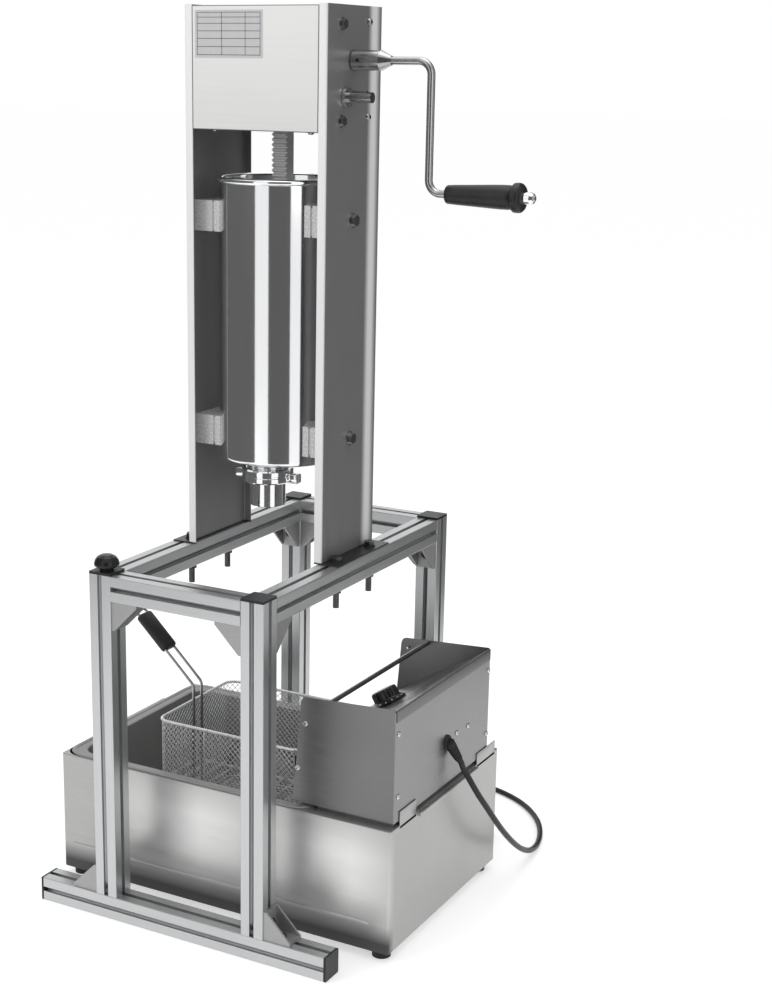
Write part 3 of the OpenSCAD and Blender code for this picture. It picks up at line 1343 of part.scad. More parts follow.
// Mains lead. Its route, in millimetres from the press axis, leaves the strain relief,
// comes down to the floor and goes round the rear rail to the coil.
gland_dir = [0.31, 0.42, -0.853];
relief_start = [head_x1 + 4, gland_y, gland_z];
relief_end = relief_start + gland_dir * relief_l / norm(gland_dir);
function route_points() = [
    [343, 8, 249], [351, 20, 224], [358, 36, 197], [364, 58, 168], [368, 84, 137],
    [370, 113, 107], [371, 144, 79], [371, 176, 54], [370, 209, 33], [368, 243, 17],
    [364, 278, 8], [357, 312, 5], [345, 347, 5], [327, 382, 5], [302, 415, 5],
    [271, 444, 5], [234, 467, 5], [192, 483, 5], [148, 491, 5], [104, 494, 5]];
coil_x = 60;
coil_y = 430;
coil_r = coil_d / 2;
lead_r = lead_d / 2;
layer_rise = lead_d + 1.4;

// A ring of points round p, square to direction d
function unit(v) = v / norm(v);
function side_of(d) = unit(cross(d, [0, 0, 1]));
function ring(p, d, r, n) = let (a = side_of(d), b = cross(a, unit(d)))
    [for (k = [0:n - 1]) p + r * cos(360 * k / n + 180 / n) * a + r * sin(360 * k / n + 180 / n) * b];
// Skin of a tube through rings of n points each
module tube(rings, n) {
    m = len(rings);
    points = concat([for (g = rings) for (p = g) p], [ring_mid(rings[0]), ring_mid(rings[m - 1])]);
    sides = [for (i = [0:m - 2]) for (k = [0:n - 1]) let (l = (k + 1) % n)
        each [[i * n + k, i * n + l, (i + 1) * n + l], [i * n + k, (i + 1) * n + l, (i + 1) * n + k]]];
    ends = [for (k = [0:n - 1]) let (l = (k + 1) % n)
        each [[m * n, l, k], [m * n + 1, (m - 1) * n + k, (m - 1) * n + l]]];
    polyhedron(points = points, faces = concat(sides, ends), convexity = 6);
}
function ring_mid(g) = sum_points(g, 0) / len(g);
function sum_points(g, i) = i == len(g) ? [0, 0, 0] : g[i] + sum_points(g, i + 1);

// The coil: in on the floor layer, up one layer where the spiral turns back, and out again.
// Angle 90 degrees is where the lead arrives, moving toward -X.
in_deg = 360 * coil_turns;
total_deg = 2 * in_deg + 180;
function coil_radius(a) = coil_r - coil_pitch * min(a, total_deg - a) / 360;
function coil_height(a) = lead_r + layer_rise * max(0, min(1, (a - in_deg) / 180));
function coil_point(a) = [coil_x + coil_radius(a) * cos(a + 90),
    coil_y + coil_radius(a) * sin(a + 90), coil_height(a)];
coil_step = 15;
coil_rings = [for (i = [0:total_deg / coil_step]) coil_point(i * coil_step)];
coil_in_point = coil_point(0) + [lead_d, 0, 0];
coil_out_point = coil_point(total_deg) + [lead_d, 0, 0];

function path_dir(p, i) = i == 0 ? p[1] - p[0]
    : i == len(p) - 1 ? p[i] - p[i - 1] : unit(p[i + 1] - p[i]) + unit(p[i] - p[i - 1]);
lead_path = concat([relief_end, relief_end + 8 * unit(gland_dir)], route_points(),
    [coil_in_point + [lead_d, 0, 0], coil_in_point]);
coil_path = concat([coil_in_point], coil_rings, [coil_out_point]);

module power_cord() set_out() color(black) {
    n = 10;
    m = len(lead_path);
    tube([for (i = [0:m - 1]) ring(lead_path[i],
        i == 0 ? gland_dir : i == m - 1 ? [-1, 0, 0] : path_dir(lead_path, i), lead_r, n)], n);
}
module cord_coil() set_out() color(black) {
    n = 6;
    m = len(coil_path);
    tube([for (i = [0:m - 1]) ring(coil_path[i],
        i <= 1 ? [-1, 0, 0] : i >= m - 2 ? [1, 0, 0] : path_dir(coil_path, i), lead_r, n)], n);
}
// Least gap between parts of the coil more than a third of a turn apart
coil_gap = min([for (i = [0:len(coil_rings) - 1]) for (j = [0:len(coil_rings) - 1])
    if (j - i > 8) norm(coil_rings[i] - coil_rings[j])]) - lead_d;
echo(str("Least gap between the turns of the coil: ", coil_gap, " mm"));
function path_length(p, i) = i == len(p) - 1 ? 0 : norm(p[i + 1] - p[i]) + path_length(p, i + 1);
echo(str("Length of the lead: ", path_length(lead_path, 0) + path_length(coil_path, 0), " mm"));

module aim(d) {
    u = unit(d);
    rotate([0, acos(u[2]), atan2(u[1], u[0])]) children();
}
// Gland on the back panel with the slanted strain relief
module cord_gland() set_out() color(black) {
    rod_x(head_x1 - head_t - 4, head_x1 + 1, gland_y, gland_z, lead_d + 5.6);
    rod_x(head_x1, head_x1 + 4, gland_y, gland_z, relief_d + 5);
    intersection() {
        translate(relief_start) aim(gland_dir) translate([0, 0, -6])
            cylinder(d1 = relief_d, d2 = lead_d + 3, h = relief_l + 6);
        block(head_x1 + 1, head_x1 + 100, gland_y - 80, gland_y + 80, gland_z - 80, gland_z + 40);
    }
}
// Plug with a tapered tail and two round pins, lying on the floor past the coil
module cord_plug() set_out() color(black) translate(coil_out_point) rotate([0, 90, 0]) {
    cylinder(d1 = lead_d + 1.2, d2 = lead_d + 6, h = 40);
    translate([0, 0, 40]) cylinder(r = coil_out_point[2], h = plug_l);
    for (y = [-9.5, 9.5]) translate([0, y, 40 + plug_l - 1]) cylinder(d = 4.8, h = 20);
}

base_rails();
front_legs();
rear_legs();
side_rail_left();
side_rail_right();
cross_rails();
end_caps();
corner_brackets();
bracket_screws();
slot_nuts();
round_knob();
side_plate_left();
side_plate_right();
foot_bolts();
gearbox_case();
gearbox_cover();
gearbox_bolts();
bearing_plates();
shaft_bushes();
rack_guides();
pinion_shaft();
rack_pinion();
large_gear();
shaft_collar();
crank_shaft();
small_pinion();
rack();
piston();
piston_seal();
piston_bolt();
crank_arm();
crank_screw();
crank_grip();
grip_nut();
barrel();
barrel_brackets();
bracket_bolts();
outlet_nut();
nozzle_tube();
churro_die();
fryer_body();
fryer_feet();
oil_tank();
element_guard();
heating_elements();
head_case();
head_back_panel();
control_panel();
head_screws();
temperature_knob();
knob_spindle();
thermostat();
hanger_bar();
basket();
basket_handle();
basket_grip();
cord_gland();
power_cord();
cord_coil();
cord_plug();
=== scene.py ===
"""Churro maker: finishes, studio and the finer pieces over the CAD frame."""

import math

import bmesh
import bpy
from mathutils import Matrix, Vector


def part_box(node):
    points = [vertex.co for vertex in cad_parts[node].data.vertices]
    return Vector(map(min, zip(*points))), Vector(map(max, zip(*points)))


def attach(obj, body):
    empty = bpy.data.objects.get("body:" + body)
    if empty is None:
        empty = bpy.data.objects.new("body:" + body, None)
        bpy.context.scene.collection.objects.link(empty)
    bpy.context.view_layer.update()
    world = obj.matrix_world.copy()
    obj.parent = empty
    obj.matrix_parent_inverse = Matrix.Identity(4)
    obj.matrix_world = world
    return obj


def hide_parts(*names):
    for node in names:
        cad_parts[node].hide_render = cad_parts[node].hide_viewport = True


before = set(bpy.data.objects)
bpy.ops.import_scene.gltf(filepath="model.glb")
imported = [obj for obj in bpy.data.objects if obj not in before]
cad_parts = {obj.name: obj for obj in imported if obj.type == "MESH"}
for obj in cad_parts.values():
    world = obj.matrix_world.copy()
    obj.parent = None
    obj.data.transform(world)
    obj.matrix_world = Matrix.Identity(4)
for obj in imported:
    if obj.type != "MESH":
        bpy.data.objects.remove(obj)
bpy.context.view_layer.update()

bl_info = {
    "name": "Churro maker",
    "version": (1, 0, 0),
    "blender": (4, 5, 0),
    "location": "3D View > Sidebar > Churro maker",
    "description": "Crank-driven churro press on a slotted aluminium stand over a deep fryer",
    "category": "Object",
}

MM = 0.001


# ---------------------------------------------------------------- the frame's own sizes


def low(node):
    """Lowest corner of a frame node."""
    return Vector(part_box(node)[0])


def high(node):
    """Highest corner of a frame node."""
    return Vector(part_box(node)[1])


def middle(node):
    """Middle of a frame node's box."""
    return (low(node) + high(node)) / 2


PRESS_X = middle("rack").x
PRESS_Y = middle("barrel").y


def at(x, y, z):
    """A point in millimetres from the press axis, as metres in the row frame."""
    return Vector((PRESS_X + x * MM, y * MM, z * MM))


# The barrel's outlet lies this far in front of the press axis, in millimetres
OUTLET_Y = -38
Z_TO_X = Matrix.Rotation(math.radians(90), 4, "Y")


def on_outlet(height):
    """Matrix to the axis of the outlet at a height in metres."""
    return Matrix.Translation(at(0, OUTLET_Y, height / MM))


# ---------------------------------------------------------------- settings


class StudioSettings(bpy.types.PropertyGroup):
    """Light and floor round the machine."""

    sky_light: bpy.props.FloatProperty(
        name="Sky light", description="Soft light from all sides", default=0.62, min=0.0
    )
    key_power: bpy.props.FloatProperty(
        name="Key lamp", description="Power of the large lamp at the front left",
        default=34.0, unit="POWER",
    )
    fill_power: bpy.props.FloatProperty(
        name="Fill lamp", description="Power of the lamp at the right",
        default=6.0, unit="POWER",
    )
    top_power: bpy.props.FloatProperty(
        name="Top lamp", description="Power of the lamp overhead",
        default=22.0, unit="POWER",
    )
    floor_colour: bpy.props.FloatVectorProperty(
        name="Floor", description="Colour of the floor",
        default=(0.86, 0.86, 0.86), subtype="COLOR", min=0, max=1,
    )


class StandSettings(bpy.types.PropertyGroup):
    """Finish of the slotted stand and the press tower."""

    profile_colour: bpy.props.FloatVectorProperty(
        name="Profile", description="Anodised aluminium of the stand",
        default=(0.56, 0.57, 0.575), subtype="COLOR", min=0, max=1,
    )
    plate_colour: bpy.props.FloatVectorProperty(
        name="Tower plate", description="Sheet of the side plates",
        default=(0.27, 0.27, 0.273), subtype="COLOR", min=0, max=1,
    )
    cover_colour: bpy.props.FloatVectorProperty(
        name="Cover", description="Sheet of the gearbox cover",
        default=(0.86, 0.86, 0.85), subtype="COLOR", min=0, max=1,
    )
    cover_bend: bpy.props.FloatProperty(
        name="Cover bend", description="Outer radius of the cover's bends",
        default=2.4 * MM, unit="LENGTH",
    )


class PressSettings(bpy.types.PropertyGroup):
    """Barrel, nozzle and crank."""

    steel_colour: bpy.props.FloatVectorProperty(
        name="Polished steel", description="Mirror-polished steel of the barrel",
        default=(0.84, 0.845, 0.855), subtype="COLOR", min=0, max=1,
    )
    barrel_sides: bpy.props.IntProperty(
        name="Barrel sides", description="Steps round the barrel", default=160, min=24
    )
    barrel_wall: bpy.props.FloatProperty(
        name="Barrel wall", description="Thickness of the barrel's wall",
        default=2 * MM, unit="LENGTH",
    )
    grip_colour: bpy.props.FloatVectorProperty(
        name="Grip", description="Black plastic of the grips",
        default=(0.018, 0.018, 0.02), subtype="COLOR", min=0, max=1,
    )


class FryerSettings(bpy.types.PropertyGroup):
    """Fryer, control head and basket."""

    body_colour: bpy.props.FloatVectorProperty(
        name="Fryer body", description="Brushed stainless sheet of the body",
        default=(0.46, 0.46, 0.455), subtype="COLOR", min=0, max=1,
    )
    head_colour: bpy.props.FloatVectorProperty(
        name="Control head", description="Brushed stainless sheet of the head",
        default=(0.2, 0.2, 0.2), subtype="COLOR", min=0, max=1,
    )
    mesh_step: bpy.props.FloatProperty(
        name="Mesh opening", description="Width of a mesh opening, corner to corner",
        default=9.8 * MM, unit="LENGTH",
    )
    mesh_wire: bpy.props.FloatProperty(
        name="Mesh wire", description="Thickness of the basket's mesh wire",
        default=1.5 * MM, unit="LENGTH",
    )


class LeadSettings(bpy.types.PropertyGroup):
    """Mains lead."""

    lead_diameter: bpy.props.FloatProperty(
        name="Lead", description="Diameter of the mains lead",
        default=10 * MM, unit="LENGTH",
    )
    lead_colour: bpy.props.FloatVectorProperty(
        name="Jacket", description="Black rubber of the lead",
        default=(0.016, 0.016, 0.017), subtype="COLOR", min=0, max=1,
    )


# ---------------------------------------------------------------- finishes


def start_finish(name):
    """A new material with its tree and its shader."""
    material = bpy.data.materials.new(name)
    material.use_nodes = True
    tree = material.node_tree
    return material, tree, tree.nodes["Principled BSDF"]


def new_node(tree, kind, **values):
    """A shader node with its inputs set: names in lower case with _ for spaces, constants or sockets."""
    node = tree.nodes.new("ShaderNode" + kind)
    by_name = {socket.name.lower().replace(" ", "_"): socket for socket in reversed(node.inputs)}
    for name, value in values.items():
        if isinstance(value, bpy.types.NodeSocket):
            tree.links.new(value, by_name[name])
        else:
            by_name[name].default_value = value
    return node


def object_coords(tree):
    """Object coordinates as a vector."""
    return new_node(tree, "TexCoord").outputs["Object"]


def place_coords(tree, scale):
    """Object coordinates, scaled."""
    return new_node(tree, "Mapping", scale=scale, vector=object_coords(tree)).outputs["Vector"]


def noise(tree, vector, scale, detail=3.0, rough=0.55):
    """Factor of a noise texture on the given coordinates."""
    node = new_node(tree, "TexNoise", scale=scale, detail=detail, roughness=rough, vector=vector)
    return node.outputs["Fac"]


def spread(tree, value, from_low, from_high, to_low, to_high):
    """The value mapped from one range to another."""
    node = new_node(
        tree, "MapRange",
        value=value, from_min=from_low, from_max=from_high, to_min=to_low, to_max=to_high,
    )
    return node.outputs["Result"]


def blend_colours(tree, factor, first, second):
    """A mix of two colours, each a tuple or a socket."""
    node = tree.nodes.new("ShaderNodeMix")
    node.data_type = "RGBA"
    tree.links.new(factor, node.inputs["Factor"])
    for socket, colour in ((node.inputs[6], first), (node.inputs[7], second)):
        if isinstance(colour, (tuple, list)):
            socket.default_value = (*colour[:3], 1)
        else:
            tree.links.new(colour, socket)
    return node.outputs[2]


def shade(colour, factor):
    """A colour made lighter or darker."""
    return tuple(min(1.0, c * factor) for c in colour)


def bump_up(tree, shader, height, strength, distance):
    """Bumps the shader's surface by a height."""
    node = new_node(tree, "Bump", strength=strength, distance=distance, height=height)
    tree.links.new(node.outputs["Normal"], shader.inputs["Normal"])


def metal_finish(
    name, colour, roughness, stretch, metallic=1.0, depth=0.12, cloud=0.1, bump=0.12,
    tone=None, coat=None,
):
    """Worked metal: grain drawn out by stretch, slow clouds of tone, and a fine bump.

    tone may be a function (tree, colour socket) that gives the final colour socket, and coat a
    function (tree) that gives the share of bare metal."""
    material, tree, shader = start_finish(name)
    grain = noise(tree, place_coords(tree, stretch), 1.0, 4.0, 0.6)
    clouds = noise(tree, place_coords(tree, (1, 1, 1)), 6.0, 2.0)
    fine = blend_colours(
        tree,
        spread(tree, grain, 0.3, 0.7, 0.0, 1.0),
        shade(colour, 1 - depth),
        shade(colour, 1 + depth),
    )
    cloudy = blend_colours(
        tree, spread(tree, clouds, 0.3, 0.7, 0.0, cloud * 4), fine, shade(colour, 1 - cloud * 2)
    )
    final = tone(tree, cloudy) if tone else cloudy
    tree.links.new(final, shader.inputs["Base Color"])
    shader.inputs["Metallic"].default_value = metallic
    if coat:
        tree.links.new(coat(tree), shader.inputs["Metallic"])
    rough = spread(tree, grain, 0.25, 0.75, roughness * 0.82, roughness * 1.2)
    tree.links.new(rough, shader.inputs["Roughness"])
    if bump:
        bump_up(tree, shader, grain, bump, 0.0003)
    return material


def plastic_finish(name, colour, roughness, grain_scale=1400.0, bump=0.25, gloss=0.3):
    """Moulded plastic or rubber with a fine grain and slow changes of gloss."""
    material, tree, shader = start_finish(name)
    vector = place_coords(tree, (1, 1, 1))
    grain = noise(tree, vector, grain_scale, 2.0)
    clouds = noise(tree, vector, 30.0, 3.0)
    tint = blend_colours(
        tree, spread(tree, clouds, 0.3, 0.7, 0, 1), shade(colour, 0.8), shade(colour, 1.35)
    )
    tree.links.new(tint, shader.inputs["Base Color"])
    tree.links.new(
        spread(tree, clouds, 0.3, 0.7, roughness * 0.85, roughness * 1.2),
        shader.inputs["Roughness"],
    )
    bump_up(tree, shader, grain, bump, 0.00012)
    shader.inputs["Specular IOR Level"].default_value = gloss
    return material


def height_of(tree, axis):
    """One Object coordinate as a value."""
    return new_node(tree, "SeparateXYZ", vector=object_coords(tree)).outputs[axis]


ALONG_X = (10, 420, 420)
ALONG_Y = (420, 10, 420)
ALONG_Z = (420, 420, 10)
FINISHES = {}


def joined(tree, operation, first, second):
    """Two values put together by a sum, a product or the like."""
    node = tree.nodes.new("ShaderNodeMath")
    node.operation = operation
    for socket, value in zip(node.inputs, (first, second)):
        if isinstance(value, (int, float)):
            socket.default_value = value
        else:
            tree.links.new(value, socket)
    return node.outputs[0]


def band(tree, value, start, end, soft):
    """1 between start and end, falling to 0 over a soft edge on either side."""
    rise = spread(tree, value, start - soft, start, 0.0, 1.0)
    fall = spread(tree, value, end, end + soft, 1.0, 0.0)
    return joined(tree, "MINIMUM", rise, fall)


def painted_flange_highlight(tree):
    """1 on the front flanges of the side plates, where a white highlight is painted."""
    front = low("side_plate_right").y
    return spread(tree, height_of(tree, "Y"), front + 0.0006, front + 0.0024, 1.0, 0.0)


def painted_rear_highlight(tree):
    """1 along a band near the rear edge of the right side plate, where a bright highlight is painted."""
    rear = high("side_plate_right").y
    right = spread(tree, height_of(tree, "X"), PRESS_X, PRESS_X + 0.01, 0.0, 1.0)
    bend = band(tree, height_of(tree, "Y"), rear - 0.031, rear - 0.019, 0.014)
    return joined(tree, "MULTIPLY", right, bend)


def plate_painted_light(tree, colour):
    """Side plate: a white painted highlight on the front flange, a bright painted highlight near the rear bend, and
    near-black painted shade on the foot.
    """
    foot = low("side_plate_right").z
    # Painted highlight: a bright band near the rear bend.
    with_rear_highlight = blend_colours(tree, painted_rear_highlight(tree), colour, (0.86, 0.86, 0.86))
    # Painted highlight: the front flanges mixed towards white.
    with_flange_highlight = blend_colours(tree, painted_flange_highlight(tree), with_rear_highlight, (0.95, 0.95, 0.945))
    # Painted shade: the foot of the plate mixed towards near-black.
    foot_painted_shade = spread(tree, height_of(tree, "Z"), foot + 0.0022, foot + 0.0034, 1.0, 0.0)
    return blend_colours(tree, foot_painted_shade, with_flange_highlight, (0.035, 0.035, 0.037))


def plate_highlight_metallic(tree):
    """Share of bare metal: less under the painted highlights on the front flange and near the rear bend."""
    share = joined(tree, "MAXIMUM", painted_flange_highlight(tree), painted_rear_highlight(tree))
    return spread(tree, share, 0.0, 1.0, 0.45, 0.1)


def cover_tone(tree, colour):
    """Cover: a thin dark line along its edges."""
    corner, far = low("gearbox_cover"), high("gearbox_cover")
    inside = joined(
        tree, "MULTIPLY",
        band(tree, height_of(tree, "X"), corner.x + 0.0016, far.x - 0.0016, 0.0003),
        band(tree, height_of(tree, "Z"), corner.z + 0.0016, far.z - 0.0016, 0.0003),
    )
    return blend_colours(tree, inside, (0.16, 0.16, 0.16), colour)


def body_painted_light(tree, colour):
    """Fryer body: painted highlights in the middle of its front, and painted shade under the pressed rib."""
    front_y = low("fryer_body").y
    across, up = height_of(tree, "X"), height_of(tree, "Z")
    front = spread(tree, height_of(tree, "Y"), front_y + 0.003, front_y + 0.02, 1.0, 0.0)
    left = band(tree, across, PRESS_X - 0.08, PRESS_X - 0.02, 0.14)
    right = band(tree, across, PRESS_X + 0.19, PRESS_X + 0.26, 0.1)
    # Painted highlight: two lighter patches on the front, mixed towards pale grey.
    glow = joined(
        tree, "MULTIPLY", joined(tree, "MAXIMUM", left, right), band(tree, up, 0.1, 0.17, 0.07)
    )
    lit = blend_colours(tree, joined(tree, "MULTIPLY", glow, front), colour, (0.8, 0.8, 0.79))
    # Painted shade: the front below the pressed rib mixed towards near-black.
    under = joined(tree, "MULTIPLY", spread(tree, up, 0.03, 0.06, 1.0, 0.0), front)
    return blend_colours(tree, under, lit, (0.07, 0.07, 0.07))


def heat_tone(tree, colour):
    """Heating tube: brown and blue where it has been hot."""
    heat = noise(tree, place_coords(tree, (1, 1, 1)), 22.0, 3.0)
    brown = blend_colours(tree, spread(tree, heat, 0.35, 0.6, 0, 1), colour, (0.16, 0.09, 0.05))
    return blend_colours(tree, spread(tree, heat, 0.55, 0.72, 0, 0.7), brown, (0.08, 0.1, 0.17))


# Worked metals: (key, name, colour, roughness, stretch of the grain, metallic, depth, cloud, bump)
METALS = (
    ("cast", "cast_aluminium", (0.42, 0.42, 0.42), 0.5, (500, 500, 500), 0.85, 0.12, 0.08, 0.5),
    ("dark", "blackened_steel", (0.1, 0.1, 0.105), 0.36, (160, 160, 160), 0.9, 0.2, 0.12, 0.2),
    ("zinc", "zinc_plated_steel", (0.62, 0.63, 0.62), 0.24, (120, 120, 120), 1.0, 0.06, 0.06, 0.08),
    ("bar", "chromed_bar", (0.42, 0.42, 0.425), 0.2, (200, 200, 200), 1.0, 0.05, 0.06, 0.03),
    ("shaft", "ground_shaft", (0.34, 0.34, 0.34), 0.2, (200, 200, 200), 1.0, 0.08, 0.08, 0.05),
    ("rack", "ground_rack", (0.74, 0.74, 0.74), 0.24, (260, 260, 12), 0.3, 0.05, 0.05, 0.04),
    ("badge", "bare_badge", (0.62, 0.62, 0.63), 0.4, (400, 400, 16), 0.15, 0.04, 0.04, 0.04),
    ("block", "bright_block", (0.8, 0.8, 0.8), 0.26, (300, 300, 300), 0.3, 0.015, 0.03, 0.0),
    ("tank", "tank_steel", (0.3, 0.3, 0.298), 0.38, (30, 30, 30), 0.3, 0.06, 0.12, 0.05),
    ("back", "brushed_back", (0.27, 0.27, 0.268), 0.3, (200, 12, 200), 0.7, 0.05, 0.1, 0.04),
    ("panel", "brushed_panel", (0.16, 0.16, 0.16), 0.3, (200, 12, 200), 0.7, 0.06, 0.08, 0.05),
    ("bronze", "sintered_bronze", (0.5, 0.31, 0.13), 0.42, (600, 600, 600), 1.0, 0.15, 0.1, 0.4),
    ("wire", "basket_wire", (0.8, 0.8, 0.8), 0.3, (150, 150, 150), 0.55, 0.08, 0.06, 0.0),
)
# Plastics and rubbers: (key, name, colour, roughness, scale of the grain, bump)
PLASTICS = (
    ("nylon", "white_nylon", (0.72, 0.71, 0.66), 0.38, 900.0, 0.15),
    ("gloss", "glossy_black", (0.014, 0.014, 0.015), 0.2, 900.0, 0.06),
    ("rubber", "black_rubber", (0.022, 0.022, 0.022), 0.6, 1100.0, 0.4),
    ("paint", "white_marks", (0.78, 0.78, 0.76), 0.45, 900.0, 0.1),
    ("print", "panel_print", (0.045, 0.046, 0.05), 0.3, 900.0, 0.08),
)


def make_finishes(scene):
    """All finishes of the machine, by name."""
    stand, press, fryer = scene.stand_settings, scene.press_settings, scene.fryer_settings
    made = {key: metal_finish(*row) for key, *row in METALS}
    made |= {key: plastic_finish(*row) for key, *row in PLASTICS}
    for axis, stretch in (("x", ALONG_X), ("y", ALONG_Y), ("z", ALONG_Z)):
        made["profile_" + axis] = metal_finish(
            "anodised_profile_" + axis, tuple(stand.profile_colour), 0.34, stretch,
            metallic=0.85, depth=0.05, cloud=0.04,
        )
    # Side plates: painted highlights and painted shade over the sheet's colour.
    made["plate"] = metal_finish(
        "tower_sheet", tuple(stand.plate_colour), 0.34, (220, 220, 14), 0.5, 0.03, 0.06, 0.015,
        plate_painted_light, plate_highlight_metallic,
    )
    made["cover"] = metal_finish(
        "cover_sheet", tuple(stand.cover_colour), 0.4, (8, 300, 300), 0.12, 0.015, 0.02, 0.02, cover_tone
    )
    made["mirror"] = metal_finish(
        "polished_steel", tuple(press.steel_colour), 0.085, (60, 60, 6), 1.0, 0.02, 0.03, 0.02
    )
    # Fryer body: painted highlights and painted shade on its front.
    made["body"] = metal_finish(
        "brushed_body", tuple(fryer.body_colour), 0.36, (9, 200, 200), 0.75, 0.06, 0.1, 0.05, body_painted_light
    )
    made["head"] = metal_finish(
        "brushed_head", tuple(fryer.head_colour), 0.34, (12, 200, 200), 0.7, 0.06, 0.12, 0.05
    )
    made["heat"] = metal_finish(
        "heating_tube", (0.12, 0.11, 0.1), 0.42, (300, 300, 300), 0.7, 0.2, 0.1, 0.3, heat_tone
    )
    made["black"] = plastic_finish("black_plastic", tuple(press.grip_colour), 0.36)
    made["jacket"] = plastic_finish(
        "lead_jacket", tuple(scene.lead_settings.lead_colour), 0.34, 700.0, 0.12
    )
    return made


# Frame nodes that wear each finish
FINISH_NODES = {
    "profile_x": "base_rails cross_rails",
    "profile_y": "side_rail_left side_rail_right",
    "profile_z": "front_legs rear_legs",
    "black": "end_caps crank_grip basket_grip cord_plug",
    "cast": "corner_brackets thermostat",
    "dark": "bracket_screws foot_bolts bearing_plates crank_screw",
    "zinc": "slot_nuts rack_pinion large_gear shaft_collar small_pinion piston_bolt churro_die"
    " head_screws knob_spindle",
    "gloss": "round_knob temperature_knob",
    "plate": "side_plate_left side_plate_right",
    "back": "gearbox_case head_back_panel",
    "cover": "gearbox_cover",
    "shaft": "gearbox_bolts pinion_shaft crank_shaft bracket_bolts",
    "bronze": "shaft_bushes",
    "nylon": "rack_guides piston",
    "rack": "rack",
    "rubber": "piston_seal fryer_feet cord_gland",
    "bar": "crank_arm hanger_bar basket_handle",
    "mirror": "grip_nut barrel outlet_nut nozzle_tube",
    "block": "barrel_brackets",
    "body": "fryer_body",
    "tank": "oil_tank",
    "wire": "element_guard basket",
    "heat": "heating_elements",
    "head": "head_case",
    "panel": "control_panel",
    "jacket": "power_cord cord_coil",
}
NODE_FINISH = {node: finish for finish, nodes in FINISH_NODES.items() for node in nodes.split()}


# ---------------------------------------------------------------- modelling helpers


def link_object(name, data):
    """A new object in the scene."""
    made = bpy.data.objects.new(name, data)
    bpy.context.scene.collection.objects.link(made)
    return made


def mesh_from(name, bm):
    """A mesh made from a bmesh, which is freed."""
    mesh = bpy.data.meshes.new(name)
    bm.to_mesh(mesh)
    bm.free()
    return mesh


def smooth(mesh, crease=32.0):
    """Smooth shading with sharp edges above the crease angle, in degrees."""
    mesh.shade_smooth()
    mesh.set_sharp_from_angle(angle=math.radians(crease))


def claim(piece, body, replaces):
    """Rides a piece on its body and what it replaces."""
    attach(piece, body)
    if replaces:
        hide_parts(*replaces)
    return piece


def new_piece(name, bm, finish, body, replaces=(), crease=32.0):
    """Makes an object from a bmesh, with its finish, and rides it on its body."""
    mesh = mesh_from(name, bm)
    mesh.materials.append(FINISHES[finish])
    smooth(mesh, crease)
    return claim(link_object(name, mesh), body, replaces)


def close_seams(bm):
    """Merges doubles and turns the faces outward."""
    bmesh.ops.remove_doubles(bm, verts=bm.verts, dist=1e-6)
    bmesh.ops.recalc_face_normals(bm, faces=bm.faces)


def spin_profile(bm, points, steps):
    """Spins (radius, height) points in metres round the local Z axis, and returns the new vertices."""
    before = set(bm.verts)
    verts = [bm.verts.new((r, 0, h)) for r, h in points]
    edges = [bm.edges.new(pair) for pair in zip(verts, verts[1:])]
    bmesh.ops.spin(
        bm, geom=verts + edges, cent=(0, 0, 0), axis=(0, 0, 1), angle=math.tau, steps=steps,
        use_merge=True,
    )
    return [v for v in bm.verts if v not in before]


def millis(points):
    """(radius, height) points in millimetres as metres."""
    return [(r * MM, h * MM) for r, h in points]


def move(bm, matrix, verts=None):
    """Moves vertices, all of them unless some are given."""
    bmesh.ops.transform(bm, matrix=matrix, verts=verts or bm.verts)


def bevel(bm, edges, offset, segments):
    """Rounds edges."""
    bmesh.ops.bevel(
        bm, geom=edges, offset=offset, offset_type="OFFSET", segments=segments, profile=0.5,
        affect="EDGES", material=-1,
    )


def bar(bm, low_corner, high_corner, edge=0.0, segments=2):
    """A bevelled box between two corners, in metres. Gives its vertices."""
    before = set(bm.verts)
    made = bmesh.ops.create_cube(bm, size=1.0)["verts"]
    size = high_corner - low_corner
    bmesh.ops.scale(bm, vec=size, verts=made)
    bmesh.ops.translate(bm, vec=(high_corner + low_corner) / 2, verts=made)
    if edge:
        bevel(bm, list({e for v in made for e in v.link_edges}), edge, segments)
    return [v for v in bm.verts if v not in before]


def round_points(x0, x1, y0, y1, z, radius, segments):
    """Points round a level rectangle with round corners, in metres."""
    points = []
    left, right, front, rear = x0 + radius, x1 - radius, y0 + radius, y1 - radius
    for index, (x, y) in enumerate(((right, rear), (left, rear), (left, front), (right, front))):
        for step in range(segments + 1):
            angle = math.radians(90 * (index + step / segments))
            points.append(Vector((x + radius * math.cos(angle), y + radius * math.sin(angle), z)))
    return points


def loft(bm, rings, segments=6, cap_first=True, cap_last=True):
    """Skin through level round rectangles. rings holds (x0, x1, y0, y1, z, radius) in metres."""
    places = round_points(*rings[0], segments)
    verts = [bm.verts.new(place) for place in places]
    edges = [bm.edges.new(pair) for pair in zip(verts, verts[1:] + verts[:1])]
    if cap_first:
        bmesh.ops.contextual_create(bm, geom=edges)
    for ring in rings[1:]:
        made = bmesh.ops.extrude_edge_only(bm, edges=edges)["geom"]
        edges = [g for g in made if isinstance(g, bmesh.types.BMEdge)]
        fresh = [g for g in made if isinstance(g, bmesh.types.BMVert)]
        targets = round_points(*ring, segments)
        for vert in fresh:
            nearest = min(range(len(places)), key=lambda i: (places[i] - vert.co).length_squared)
            vert.co = targets[nearest]
        places = targets
    if cap_last:
        bmesh.ops.contextual_create(bm, geom=edges)
    bmesh.ops.recalc_face_normals(bm, faces=bm.faces)


